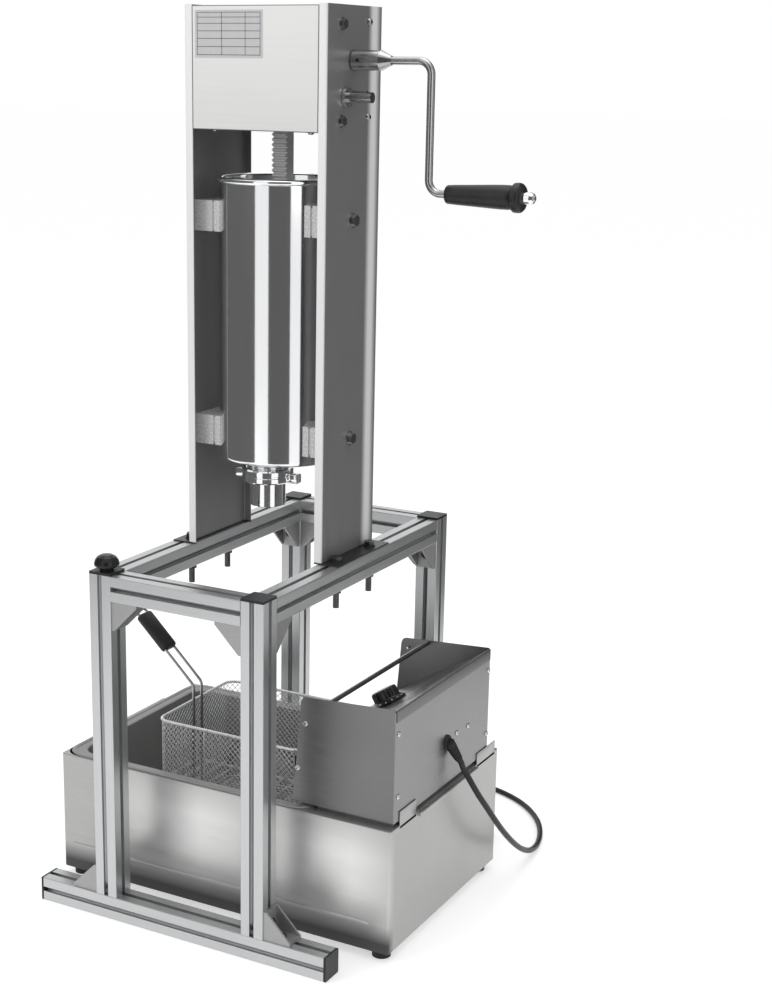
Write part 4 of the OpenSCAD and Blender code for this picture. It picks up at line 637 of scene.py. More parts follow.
def bent_sheet(path, axis, start, end, bend, thickness, inward):
    """A folded sheet: corner points extruded along an axis, folds rounded, then given a wall."""
    bm = bmesh.new()
    verts = [bm.verts.new(p) for p in path]
    edges = [bm.edges.new(pair) for pair in zip(verts, verts[1:])]
    shift = Vector([end - start if i == axis else 0 for i in range(3)])
    bmesh.ops.translate(bm, vec=[start if i == axis else 0 for i in range(3)], verts=verts)
    made = bmesh.ops.extrude_edge_only(bm, edges=edges)["geom"]
    bmesh.ops.translate(bm, vec=shift, verts=[g for g in made if isinstance(g, bmesh.types.BMVert)])
    folds = [
        e
        for e in bm.edges
        if len(e.link_faces) == 2 and abs((e.verts[0].co - e.verts[1].co)[axis]) > 1e-6
    ]
    bevel(bm, folds, bend, 5)
    bmesh.ops.recalc_face_normals(bm, faces=bm.faces)
    facing = sum((f.normal * f.calc_area() for f in bm.faces), Vector())
    if facing.dot(inward) > 0:
        bmesh.ops.reverse_faces(bm, faces=bm.faces)
    bmesh.ops.solidify(bm, geom=bm.faces, thickness=thickness)
    return bm


def wire_piece(name, routes, radius, finish, body, replaces=(), sides=3):
    """Round wires along routes of points in metres. Each route is (points, closed)."""
    curve = bpy.data.curves.new(name, "CURVE")
    curve.dimensions = "3D"
    curve.bevel_depth = radius
    curve.bevel_resolution = sides
    curve.use_fill_caps = True
    for points, closed in routes:
        spline = curve.splines.new("POLY")
        spline.points.add(len(points) - 1)
        for target, point in zip(spline.points, points):
            target.co = (*point, 1)
        spline.use_cyclic_u = closed
        spline.use_smooth = True
    curve.materials.append(FINISHES[finish])
    return claim(link_object(name, curve), body, replaces)


def smooth_route(points, steps=5):
    """A smooth line through points: each span is a cubic whose tangents come from its neighbours."""
    route = []
    for i in range(len(points) - 1):
        p0 = points[max(i - 1, 0)]
        p1, p2 = points[i], points[i + 1]
        p3 = points[min(i + 2, len(points) - 1)]
        for k in range(steps):
            t = k / steps
            route.append(
                0.5
                * (
                    2 * p1
                    + (p2 - p0) * t
                    + (2 * p0 - 5 * p1 + 4 * p2 - p3) * t * t
                    + (3 * p1 - p0 - 3 * p2 + p3) * t * t * t
                )
            )
    route.append(points[-1])
    return route


def corner_route(corners, radius, steps=6, closed=False):
    """A line through corners, each rounded by an arc of the radius."""
    count = len(corners)
    route = []
    for i, corner in enumerate(corners):
        if not closed and i in (0, count - 1):
            route.append(corner)
            continue
        before = (corners[i - 1] - corner).normalized()
        after = (corners[(i + 1) % count] - corner).normalized()
        half = before.angle(after) / 2
        reach = radius / math.tan(half)
        start, end = corner + before * reach, corner + after * reach
        centre = corner + (before + after).normalized() * (radius / math.sin(half))
        a, b = start - centre, end - centre
        sweep = a.angle(b)
        for k in range(steps + 1):
            t = k / steps
            route.append(
                centre + (a * math.sin((1 - t) * sweep) + b * math.sin(t * sweep)) / math.sin(sweep)
            )
    return route


def turned_to(direction, point):
    """Matrix that stands local Z along a direction at a point."""
    return Matrix.Translation(point) @ direction.to_track_quat("Z", "Y").to_matrix().to_4x4()


# ---------------------------------------------------------------- camera and lead


def aim_camera():
    """The photograph's viewpoint."""
    data = bpy.data.cameras.new("camera")
    data.sensor_fit = "AUTO"
    data.sensor_width = 36
    data.lens = 62.39
    data.shift_x, data.shift_y = 0.0473, 0.0202
    data.clip_start, data.clip_end = 0.05, 200
    camera = link_object("camera", data)
    yaw, pitch, roll = (math.radians(a) for a in (28.906, 14.543, 0.795))
    ahead = Vector(
        (-math.sin(yaw) * math.cos(pitch), math.cos(yaw) * math.cos(pitch), -math.sin(pitch))
    )
    right = Vector((math.cos(yaw), math.sin(yaw), 0))
    up = right.cross(ahead)
    side = right * math.cos(roll) + up * math.sin(roll)
    top = up * math.cos(roll) - right * math.sin(roll)
    turn = Matrix((side, top, -ahead)).transposed().to_4x4()
    camera.matrix_world = Matrix.Translation(at(1421.1, -2373.2, 1336.6)) @ turn
    bpy.context.scene.camera = camera


# Route of the lead in millimetres from the press axis, as in the part's source
LEAD_ROUTE = [
    (343, 8, 249), (351, 20, 224), (358, 36, 197), (364, 58, 168), (368, 84, 137),
    (370, 113, 107), (371, 144, 79), (371, 176, 54), (370, 209, 33), (368, 243, 17),
    (364, 278, 8), (357, 312, 5), (345, 347, 5), (327, 382, 5), (302, 415, 5),
    (271, 444, 5), (234, 467, 5), (192, 483, 5), (148, 491, 5), (104, 494, 5),
]
GLAND_DIRECTION = Vector((0.31, 0.42, -0.853)).normalized()
RELIEF_START = at(327, -17, 300)
RELIEF_END = RELIEF_START + GLAND_DIRECTION * 38 * MM


def coil_route():
    """The coil: one and a half turns on the floor, a climb, and out again on top."""
    route = []
    for angle in range(0, 1261, 15):
        radius = 64 - 10.8 * min(angle, 1260 - angle) / 360
        height = 5 + 11.4 * max(0.0, min(1.0, (angle - 540) / 180))
        turn = math.radians(angle + 90)
        route.append(at(60 + radius * math.cos(turn), 430 + radius * math.sin(turn), height))
    return route


# ---------------------------------------------------------------- operators


class PlaceCamera(bpy.types.Operator):
    """Place the camera at the photograph's viewpoint"""

    bl_idname = "churro.place_camera"
    bl_label = "Camera"

    def execute(self, context):
        aim_camera()
        return {"FINISHED"}


class MakeFinishes(bpy.types.Operator):
    """Make the finishes and give each frame node its own"""

    bl_idname = "churro.make_finishes"
    bl_label = "Finishes"

    def execute(self, context):
        FINISHES.update(make_finishes(context.scene))
        for name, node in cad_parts.items():
            finish = FINISHES[NODE_FINISH[name]]
            if not node.material_slots:
                node.data.materials.append(finish)
            for slot in node.material_slots:
                slot.material = finish
        return {"FINISHED"}


class MakeLead(bpy.types.Operator):
    """Make the mains lead, its coil, its strain relief and its plug"""

    bl_idname = "churro.make_lead"
    bl_label = "Mains lead"

    def execute(self, context):
        radius = context.scene.lead_settings.lead_diameter / 2
        coil = coil_route()
        free = [RELIEF_END, RELIEF_END + GLAND_DIRECTION * 8 * MM]
        free += [at(*p) for p in LEAD_ROUTE]
        free += [at(80, 494, 5), at(70, 494, 5)]
        out = coil[-1] + Vector((10 * MM, 0, 0))
        route = smooth_route(free + coil + [out], 4)
        for point in route:
            point.z = max(point.z, radius)
        lead = wire_piece(
            "mains_lead", [(route, False)], radius, "jacket", "machine",
            ("power_cord", "cord_coil"), sides=4,
        )
        plug = self.make_plug(out)
        self.make_relief()
        return {"FINISHED"}

    def make_plug(self, start):
        """Tail with rings, a rounded body and two pins, lying on the floor."""
        bm = bmesh.new()
        tail = [(0, 0), (5.6, 0), (6.0, 4)]
        for step in range(6):
            z = 6 + step * 5
            swell = 6.2 + step * 0.32
            tail += [(swell, z), (swell, z + 2.6), (swell - 0.9, z + 3.2), (swell - 0.9, z + 4.6)]
        body = [(8, 37), (9.5, 40.2), (14, 40.8), (15.6, 42.5), (16.2, 46), (16.2, 60),
                (15.4, 70), (14.6, 73.4), (13.8, 74), (0, 74)]
        spin_profile(bm, millis(tail + body), 40)
        for side in (-9.5, 9.5):
            pin = spin_profile(bm, millis([(0, 73), (2.4, 73), (2.4, 91), (1.6, 92.6), (0, 93)]), 16)
            move(bm, Matrix.Translation((0, side * MM, 0)), pin)
        close_seams(bm)
        move(bm, Matrix.Translation(start) @ Z_TO_X)
        return new_piece("plug", bm, "black", "machine", ("cord_plug",))

    def make_relief(self):
        """Ring on the back panel and a tapered, ringed boot."""
        bm = bmesh.new()
        boot = [(0, 0), (9.2, 0)]
        for step in range(6):
            z = 5 + step * 5
            r = 9.2 - step * 0.45
            boot += [(r, z), (r, z + 3), (r - 1.1, z + 3.5), (r - 1.1, z + 4.6)]
        boot += [(6.4, 36), (5.6, 37.9), (0, 37.9)]
        made = spin_profile(bm, millis(boot), 40)
        move(bm, turned_to(GLAND_DIRECTION, RELIEF_START), made)
        panel = high("head_back_panel").x
        points = [(0, -5), (7.8, -5), (7.8, 0), (12, 0), (12, 2.6), (10.8, 3.8), (7, 4), (0, 4)]
        ring = spin_profile(bm, millis(points), 48)
        seat = Matrix.Translation((panel, -17 * MM, 0.3)) @ Z_TO_X
        move(bm, seat, ring)
        close_seams(bm)
        new_piece("strain_relief", bm, "rubber", "machine", ("cord_gland",))


class MakeBarrel(bpy.types.Operator):
    """Make the mirror-polished barrel with its rolled rim and its outlet"""

    bl_idname = "churro.make_barrel"
    bl_label = "Barrel"

    def execute(self, context):
        settings = context.scene.press_settings
        steps = settings.barrel_sides
        wall = settings.barrel_wall
        floor_z, top = low("barrel").z + 24 * MM, high("barrel").z
        roll = 4.5 * MM
        centre = 0.1015
        outer, inner = 0.099, 0.099 - wall
        bm = bmesh.new()
        points = [(0, floor_z), (outer - 0.004, floor_z)]
        points += [
            (outer - 0.004 + 0.004 * math.sin(a), floor_z + 0.004 - 0.004 * math.cos(a))
            for a in (math.radians(d) for d in (22, 45, 68, 90))
        ]
        points += [(outer, floor_z + 0.0075), (outer, floor_z + 0.3), (outer, top - 0.012)]
        points += [(outer, top - 0.0102)]
        points += [
            (centre - roll * math.cos(a), top - roll + roll * math.sin(a))
            for a in (math.radians(d) for d in range(-55, -226, -15))
        ]
        points += [
            (centre + roll * math.cos(a), top - roll + roll * math.sin(a))
            for a in (math.radians(d) for d in range(75, 181, 15))
        ]
        points += [(inner, floor_z + 0.006), (inner - 0.003, floor_z + 0.003), (0, floor_z + 0.003)]
        spin_profile(bm, self.tidy(points), steps)
        close_seams(bm)
        move(bm, Matrix.Translation((PRESS_X, PRESS_Y, 0)))
        barrel = new_piece("barrel_shell", bm, "mirror", "machine", ("barrel",))
        self.open_outlet(barrel, floor_z)
        self.make_spout(floor_z)
        return {"FINISHED"}

    def tidy(self, points):
        """Drops points that repeat."""
        kept = [points[0]]
        for point in points[1:]:
            if math.dist(point, kept[-1]) > 2e-5:
                kept.append(point)
        return kept

    def open_outlet(self, barrel, floor_z):
        """Cuts the outlet through the barrel's bottom."""
        bm = bmesh.new()
        bmesh.ops.create_cone(
            bm, cap_ends=True, segments=64, radius1=0.028, radius2=0.028, depth=0.02
        )
        move(bm, on_outlet(floor_z))
        cutter = link_object("outlet_cutter", mesh_from("outlet_cutter", bm))
        cut = barrel.modifiers.new("outlet", "BOOLEAN")
        cut.operation = "DIFFERENCE"
        cut.object = cutter
        cut.solver = "EXACT"
        bpy.context.view_layer.update()
        graph = bpy.context.evaluated_depsgraph_get()
        made = bpy.data.meshes.new_from_object(barrel.evaluated_get(graph))
        barrel.modifiers.clear()
        barrel.data = made
        smooth(made)
        bpy.data.objects.remove(cutter)

    def make_spout(self, floor_z):
        """Threaded spout under the bottom."""
        bm = bmesh.new()
        spout_r, bore_r, end = 34, 28, -24
        points = [(bore_r, 0), (bore_r, end + 1), (bore_r + 1, end), (spout_r - 1.2, end)]
        for turn in range(7):
            z = end + 1.2 + turn * 2.5
            points += [(spout_r - 1.0, z), (spout_r, z + 1.1), (spout_r - 1.0, z + 2.2)]
        points += [(spout_r - 1.0, -4), (spout_r, -3.4), (spout_r, -1.5), (spout_r, 0), (bore_r, 0)]
        spin_profile(bm, millis(points), 72)
        close_seams(bm)
        move(bm, on_outlet(floor_z))
        new_piece("barrel_spout", bm, "mirror", "machine")


class MakeNozzle(bpy.types.Operator):
    """Make the ring nut with its lugs and the nozzle tube"""

    bl_idname = "churro.make_nozzle"
    bl_label = "Nozzle and ring nut"

    def execute(self, context):
        base = low("nozzle_tube").z
        bm = bmesh.new()
        points = [(24, 0), (28, 0), (29, 1), (29, 30), (29, 45.4), (30, 46), (33.4, 46), (34, 46.5),
                  (34, 48.5), (33.4, 49), (27, 49), (27, 2), (24, 2), (24, 0)]
        spin_profile(bm, millis(points), 72)
        close_seams(bm)
        move(bm, on_outlet(base))
        new_piece("nozzle", bm, "mirror", "nozzle", ("nozzle_tube",))
        self.make_nut()
        return {"FINISHED"}

    def make_nut(self):
        """Ring nut: a bevelled ring and two lugs."""
        base = low("outlet_nut").z
        bm = bmesh.new()
        points = [(29.6, 0), (39.5, 0), (42, 2.2), (42, 9), (41.2, 10), (41.2, 12), (42, 13),
                  (42, 19.6), (40, 22), (35.6, 22), (34.1, 20.6), (34.1, 6), (29.6, 6), (29.6, 0)]
        spin_profile(bm, millis(points), 72)
        for side in (-1, 1):
            start, end = sorted((side * 38.5 * MM, side * 58.6 * MM))
            bar(bm, Vector((start, -0.008, 0)), Vector((end, 0.008, 0.0165)), 0.003, 3)
        close_seams(bm)
        move(bm, on_outlet(base))
        new_piece("ring_nut_bright", bm, "mirror", "ring_nut", ("outlet_nut",))


class MakeCover(bpy.types.Operator):
    """Make the folded gearbox cover with its bare badge"""

    bl_idname = "churro.make_cover"
    bl_label = "Gearbox cover"

    def execute(self, context):
        bend = context.scene.stand_settings.cover_bend
        corner, far = low("gearbox_cover"), high("gearbox_cover")
        path = [
            (0, far.y, far.z),
            (0, corner.y, far.z),
            (0, corner.y, corner.z),
            (0, far.y, corner.z),
        ]
        bm = bent_sheet(path, 0, corner.x, far.x, bend, 2 * MM, Vector((0, 1, 0)))
        new_piece("cover_sheet_folded", bm, "cover", "machine", ("gearbox_cover",))
        self.make_badge(corner.y)
        return {"FINISHED"}

    def make_badge(self, face):
        """Bare plate with its printed lines; the four small rivets that hold it are not made."""
        bm = bmesh.new()
        low_corner, high_corner = at(-106, 0, 1353), at(15, 0, 1423)
        low_corner.y, high_corner.y = face - 0.0005, face + 0.0003
        bar(bm, low_corner, high_corner, 0.0002, 1)
        new_piece("bare_badge", bm, "badge", "machine")
        lines = bmesh.new()
        line, left, right, bottom, top = 0.7, -102, 11, 1357, 1419.7
        spans = [(left, right, z, z + line) for z in (1357, 1369, 1381, 1392, 1403, 1412, 1419)]
        spans += [(x, x + line, bottom, top) for x in (-102, -58, -16, 10.3)]
        for x0, x1, z0, z1 in spans:
            a, b = at(x0, 0, z0), at(x1, 0, z1)
            a.y, b.y = face - 0.0007, face - 0.0004
            bar(lines, a, b)
        new_piece("badge_lines", lines, "print", "machine")


class MakeCrank(bpy.types.Operator):
    """Make the crank's turned grip and its cap nut"""

    bl_idname = "churro.make_crank"
    bl_label = "Crank grip"

    def execute(self, context):
        node = low("crank_grip")
        y, z = middle("crank_grip").y, middle("crank_grip").z
        bm = bmesh.new()
        points = [(6.1, 0), (11.8, 0), (13.2, 0.6), (14, 2), (14.6, 12), (15.4, 30), (16.4, 52),
                  (17.4, 72), (18, 88), (18, 100), (17.6, 104.5), (16.4, 106.6), (16.6, 107.4),
                  (20, 108.4), (21.6, 110), (22, 112.5), (22, 117), (21.2, 120), (18.4, 123),
                  (14, 124.7), (9, 125), (6.1, 125), (6.1, 0)]
        spin_profile(bm, millis(points), 64)
        close_seams(bm)
        move(bm, Matrix.Translation((node.x, y, z)) @ Z_TO_X)
        new_piece("turned_grip", bm, "black", "grip", ("crank_grip",))
        return {"FINISHED"}


class MakeFryer(bpy.types.Operator):
    """Make the fryer's folded body and its oil tank with a rolled bead"""

    bl_idname = "churro.make_fryer"
    bl_label = "Fryer body and tank"

    def execute(self, context):
        self.make_body()
        self.make_tank()
        return {"FINISHED"}

    def make_body(self):
        """Box with rounded corners, open above the tank, with lips and tabs."""
        bm = bmesh.new()

        def ring(inset, z, radius):
            a, b = at(-298, -212, z), at(325, 186, z)
            return (a.x + inset, b.x - inset, a.y + inset, b.y - inset, a.z, radius)

        def opening(z, extra):
            a, b = at(-296.5 - extra, -210.5 - extra, z), at(172 + extra, 184.5 + extra, z)
            return (a.x, b.x, a.y, b.y, a.z, 27 * MM)

        rings = [
            ring(1.5 * MM, 14, 2.6 * MM), ring(0.4 * MM, 14.4, 3.6 * MM), ring(0, 15.5, 4 * MM),
            ring(0, 17, 4 * MM), ring(0, 217, 4 * MM), ring(0, 218.5, 4 * MM),
            ring(0.4 * MM, 219.6, 3.6 * MM), ring(1.4 * MM, 220, 2.7 * MM), opening(220, 0),
            opening(218.5, 0), ring(1.5 * MM, 218.3, 2.5 * MM), ring(1.5 * MM, 15.5, 2.5 * MM),
        ]
        loft(bm, rings, 6)
        bar(bm, at(-278, -212.8, 58), at(290, -211.6, 62), 0.0005, 2)
        bar(bm, at(323.5, -181, 214), at(325, -125, 243), 0.0006, 2)
        bar(bm, at(323.5, 100, 214), at(325, 172, 239), 0.0006, 2)
        bar(bm, at(324, -119, 212), at(331, 95, 219), 0.0016, 3)
        bar(bm, at(-304, -119, 212), at(-297, 95, 219), 0.0016, 3)
        new_piece("fryer_shell", bm, "body", "machine", ("fryer_body",))

    def make_tank(self):
        """Deep-drawn tank: rolled bead, flat flange, rounded mouth, walls and floor."""
        bm = bmesh.new()
        fx0, fx1, fy0, fy1 = -295, 180, -211, 185
        tx0, tx1, ty0, ty1 = -273, 160, -189, 163

        def flange(inset, z):
            a, b = at(fx0 + inset, fy0 + inset, z), at(fx1 - inset, fy1 - inset, z)
            return (a.x, b.x, a.y, b.y, a.z, (35 - inset) * MM)

        def wall(grow, z):
            a, b = at(tx0 - grow, ty0 - grow, z), at(tx1 + grow, ty1 + grow, z)
            return (a.x, b.x, a.y, b.y, a.z, (25 + grow) * MM)

        rings = [
            wall(-7, 48.8), wall(-2, 50.4), wall(1.2, 58), wall(1.2, 216), wall(1.6, 219.4),
            wall(3, 220), flange(1, 220), flange(0.2, 220.6), flange(0, 221.5), flange(0.6, 222.3), flange(2, 222.9),
            flange(4, 223), flange(6, 222.8), flange(7.4, 222), flange(8.4, 221.2), wall(4, 221.2),
            wall(2, 220.9), wall(0.5, 219.8), wall(0, 217), wall(0, 60), wall(-1.5, 54), wall(-6, 50.6),
            wall(-12, 50),
        ]
        loft(bm, rings, 8)
        new_piece("oil_tank_drawn", bm, "tank", "machine", ("oil_tank",))


# Slope of the control panel
PANEL_SLOPE = math.radians(31.4)


class MakeHead(bpy.types.Operator):
    """Make the folded control panel with its print and its fluted knob"""

    bl_idname = "churro.make_head"
    bl_label = "Control panel and knob"

    def execute(self, context):
        self.make_panel()
        self.make_print()
        self.make_knob()
        return {"FINISHED"}

    def on_panel(self):
        """Matrix of the knob's seat on the sloping panel."""
        seat = at(225, -29, 303 + (225 - 146) * math.tan(PANEL_SLOPE))
        turn = Matrix.Rotation(-PANEL_SLOPE, 4, "Y")
        return Matrix.Translation(seat) @ turn

    def make_panel(self):
        """Sloping panel, folded down at its front and its back."""
        corner, far = low("control_panel"), high("control_panel")
        front_z = 0.303 - 1.5 * MM * math.tan(PANEL_SLOPE)
        back_z = far.z
        path = [
            (corner.x, 0, corner.z),
            (corner.x, 0, front_z),
            (far.x, 0, back_z),
            (far.x, 0, back_z - 20 * MM),
        ]
        bm = bent_sheet(path, 1, corner.y, far.y, 2.6 * MM, 1.5 * MM, Vector((0, 0, -1)))
        new_piece(
            "control_panel_folded", bm, "panel", "machine", ("control_panel",)
        )

    def make_print(self):
        """Printed strip near the top of the panel, with no lettering."""
        bm = bmesh.new()
        bar(bm, Vector((0.052, -0.075, -0.0001)), Vector((0.088, 0.11, 0.0003)), 0.0001, 1)
        move(bm, self.on_panel())
        new_piece("panel_print", bm, "print", "machine")

    def make_knob(self):
        """Knob: skirt, fluted grip with a domed top, and white marks."""
        flutes, per = 16, 6
        bm = bmesh.new()
        skirt = [(0, 1), (29.6, 1), (30, 1.4), (30, 3.4), (29.4, 4), (25, 6.2), (23, 8), (22.4, 9),
                 (0, 9)]
        spin_profile(bm, millis(skirt), 96)
        circle = bmesh.ops.create_circle(bm, segments=flutes * per, radius=0.0222)["verts"]
        edges = list({e for v in circle for e in v.link_edges})
        rows = [(8.6, 22.2, 1.0), (12, 22.1, 1.0), (20.5, 21.8, 1.0), (22.6, 21.2, 0.85),
                (23.8, 20, 0.6), (24.6, 18, 0.35), (25, 14, 0.1), (25, 6, 0.0)]
        ring = circle
        for index, (z, radius, deep) in enumerate(rows):
            if index:
                made = bmesh.ops.extrude_edge_only(bm, edges=edges)["geom"]
                ring = [g for g in made if isinstance(g, bmesh.types.BMVert)]
                edges = [g for g in made if isinstance(g, bmesh.types.BMEdge)]
            for vert in ring:
                angle = math.atan2(vert.co.y, vert.co.x)
                wave = 0.5 + 0.5 * math.cos(angle * flutes)
                r = (radius - 2.0 * deep * wave**1.5) * MM
                vert.co = Vector((r * math.cos(angle), r * math.sin(angle), z * MM))
        bmesh.ops.contextual_create(bm, geom=edges)
        close_seams(bm)
        move(bm, self.on_panel())
        new_piece("fluted_knob", bm, "gloss", "dial", ("temperature_knob",))
        marks = bmesh.new()
        for step in range(13):
            turn = Matrix.Rotation(math.radians(-135 + step * 22.5), 4, "Z")
            long = 4.6 if step % 2 == 0 else 3.0
            verts = bar(
                marks, Vector(((29.4 - long) * MM, -0.0005, 0)), Vector((0.0294, 0.0005, 0.0006)), 0
            )
            lean = Matrix.Translation((0.0294, 0, 0.0042)) @ Matrix.Rotation(
                math.radians(26), 4, "Y"
            ) @ Matrix.Translation((-0.0294, 0, -0.0003))
            move(marks, turn @ lean, verts)
        bar(marks, Vector((0.0085, -0.0006, 0.0249)), Vector((0.0195, 0.0006, 0.02512)), 0)
        move(marks, self.on_panel())
        new_piece("knob_marks", marks, "paint", "dial")


class MakeBasket(bpy.types.Operator):
    """Make the basket's diamond mesh, its wires and its moulded grip"""

    bl_idname = "churro.make_basket"
    bl_label = "Basket"

    def execute(self, context):
        settings = context.scene.fryer_settings
        corner, far = low("basket"), high("basket")
        rim = 2.5 * MM
        box = (corner.x + rim, far.x - rim, corner.y + rim, far.y - rim)
        self.make_walls(box, corner.z + 0.0012, far.z - rim, settings)
        self.make_floor(box, corner.z + 0.0009, settings)
        self.make_wires(box, corner.z, far.z)
        self.make_grip()
        return {"FINISHED"}

    def outline(self, box, radius):
        """Lengths and places round the basket's level outline."""
        x0, x1, y0, y1 = box
        corners = [Vector((x0, y0, 0)), Vector((x1, y0, 0)), Vector((x1, y1, 0)), Vector((x0, y1, 0))]
        route = corner_route(corners, radius, 5, True)
        route.append(route[0])
        lengths = [0.0]
        for a, b in zip(route, route[1:]):
            lengths.append(lengths[-1] + (b - a).length)
        return route, lengths

    def net(self, length, height, step, rise):
        """Flat net of diamonds over a rectangle, its lines edges of the mesh."""
        bm = bmesh.new()
        across, up = length / step, height / rise
        count = math.ceil(across + up) + 2
        bmesh.ops.create_grid(bm, x_segments=count, y_segments=count, size=count / 2)
        middle_row = count / 2 - math.ceil(up) - 1
        bmesh.ops.translate(bm, vec=(count / 2 - 1, middle_row, 0), verts=bm.verts)
        skew = Matrix(((step / 2, step / 2, 0), (rise / 2, -rise / 2, 0), (0, 0, 1)))
        move(bm, skew.to_4x4())
        for point, normal in (
            ((0, 0, 0), (-1, 0, 0)), ((length, 0, 0), (1, 0, 0)),
            ((0, 0, 0), (0, -1, 0)), ((0, height, 0), (0, 1, 0)),
        ):
            bmesh.ops.bisect_plane(
                bm, geom=bm.verts[:] + bm.edges[:] + bm.faces[:], dist=1e-7,
                plane_co=point, plane_no=normal, clear_outer=True,
            )
        return bm

    def add_wireframe(self, piece, thickness):
        """Turns the net's lines into wires."""
        wires = piece.modifiers.new("wires", "WIREFRAME")
        wires.thickness = thickness
        wires.use_boundary = True
        wires.use_even_offset = False
        wires.offset = 0

    def make_walls(self, box, z0, z1, settings):
        route, lengths = self.outline(box, 20 * MM)
        total = lengths[-1]
        step = total / round(total / settings.mesh_step)
        bm = self.net(total, z1 - z0, step, settings.mesh_step * 1.05)
        for vert in bm.verts:
            along = min(max(vert.co.x, 0), total)
            index = max(i for i, value in enumerate(lengths[:-1]) if value <= along + 1e-9)
            part = (along - lengths[index]) / (lengths[index + 1] - lengths[index])
            place = route[index].lerp(route[index + 1], part)
            vert.co = Vector((place.x, place.y, z0 + vert.co.y))
        bmesh.ops.remove_doubles(bm, verts=bm.verts, dist=1e-5)
        piece = new_piece("basket_mesh", bm, "wire", "fry_basket", ("basket",), 60)
        self.add_wireframe(piece, settings.mesh_wire)

    def make_floor(self, box, z, settings):
        x0, x1, y0, y1 = box
        inset = 6 * MM
        bm = self.net(x1 - x0 - 2 * inset, y1 - y0 - 2 * inset, settings.mesh_step, settings.mesh_step)
        bmesh.ops.translate(bm, vec=(x0 + inset, y0 + inset, z), verts=bm.verts)
        piece = new_piece("basket_floor", bm, "wire", "fry_basket", (), 60)
        self.add_wireframe(piece, settings.mesh_wire)

    def make_wires(self, box, z0, z1):
        """Rim, floor ring and the uprights inside the mesh."""
        x0, x1, y0, y1 = box

        def ring(z, grow, radius):
            corners = [
                Vector((x0 - grow, y0 - grow, z)), Vector((x1 + grow, y0 - grow, z)),
                Vector((x1 + grow, y1 + grow, z)), Vector((x0 - grow, y1 + grow, z)),
            ]
            return corner_route(corners, radius, 8, True), True

        wire_piece(
            "basket_rim", [ring(z1 - 2.5 * MM, 0, 20 * MM)], 2.5 * MM, "wire", "fry_basket",
            sides=4,
        )
        inner = -2.2 * MM
        feet = [(x0 + (x1 - x0) * share, y) for share in (0.33, 0.67) for y in (y0 - inner, y1 + inner)]
        feet += [(x1 + inner, y0 + (y1 - y0) * share) for share in (0.3, 0.7)]
        uprights = [
            ([Vector((x, y, z0 + 2.2 * MM)), Vector((x, y, z1 - 3 * MM))], False) for x, y in feet
        ]
        wire_piece(
            "basket_ribs", [ring(z0 + 3 * MM, inner, 18 * MM), *uprights], 1.3 * MM, "wire",
            "fry_basket", sides=2,
        )

    def make_grip(self):
        """Flat moulded grip with rounded edges, over the handle's two wires."""
        lean = math.radians(43.7 - 180)
        frame_turn = Matrix.Translation(at(-157.2, 0, 307)) @ Matrix.Rotation(lean, 4, "Y")
        bm = bmesh.new()
        rings = [
            tuple(v * MM for v in (78 + inset, 156 - inset, -28 + inset, 5 - inset, z, radius))
            for inset, z, radius in (
                (3, -7, 5), (1, -5.8, 5.5), (0, -3.4, 6), (0, 3.4, 6), (1, 5.8, 5.5), (3, 7, 5)
            )
        ]
        loft(bm, rings, 5)
        move(bm, frame_turn)
        new_piece(
            "basket_grip_moulded", bm, "black", "fry_basket", ("basket_grip",), 50
        )


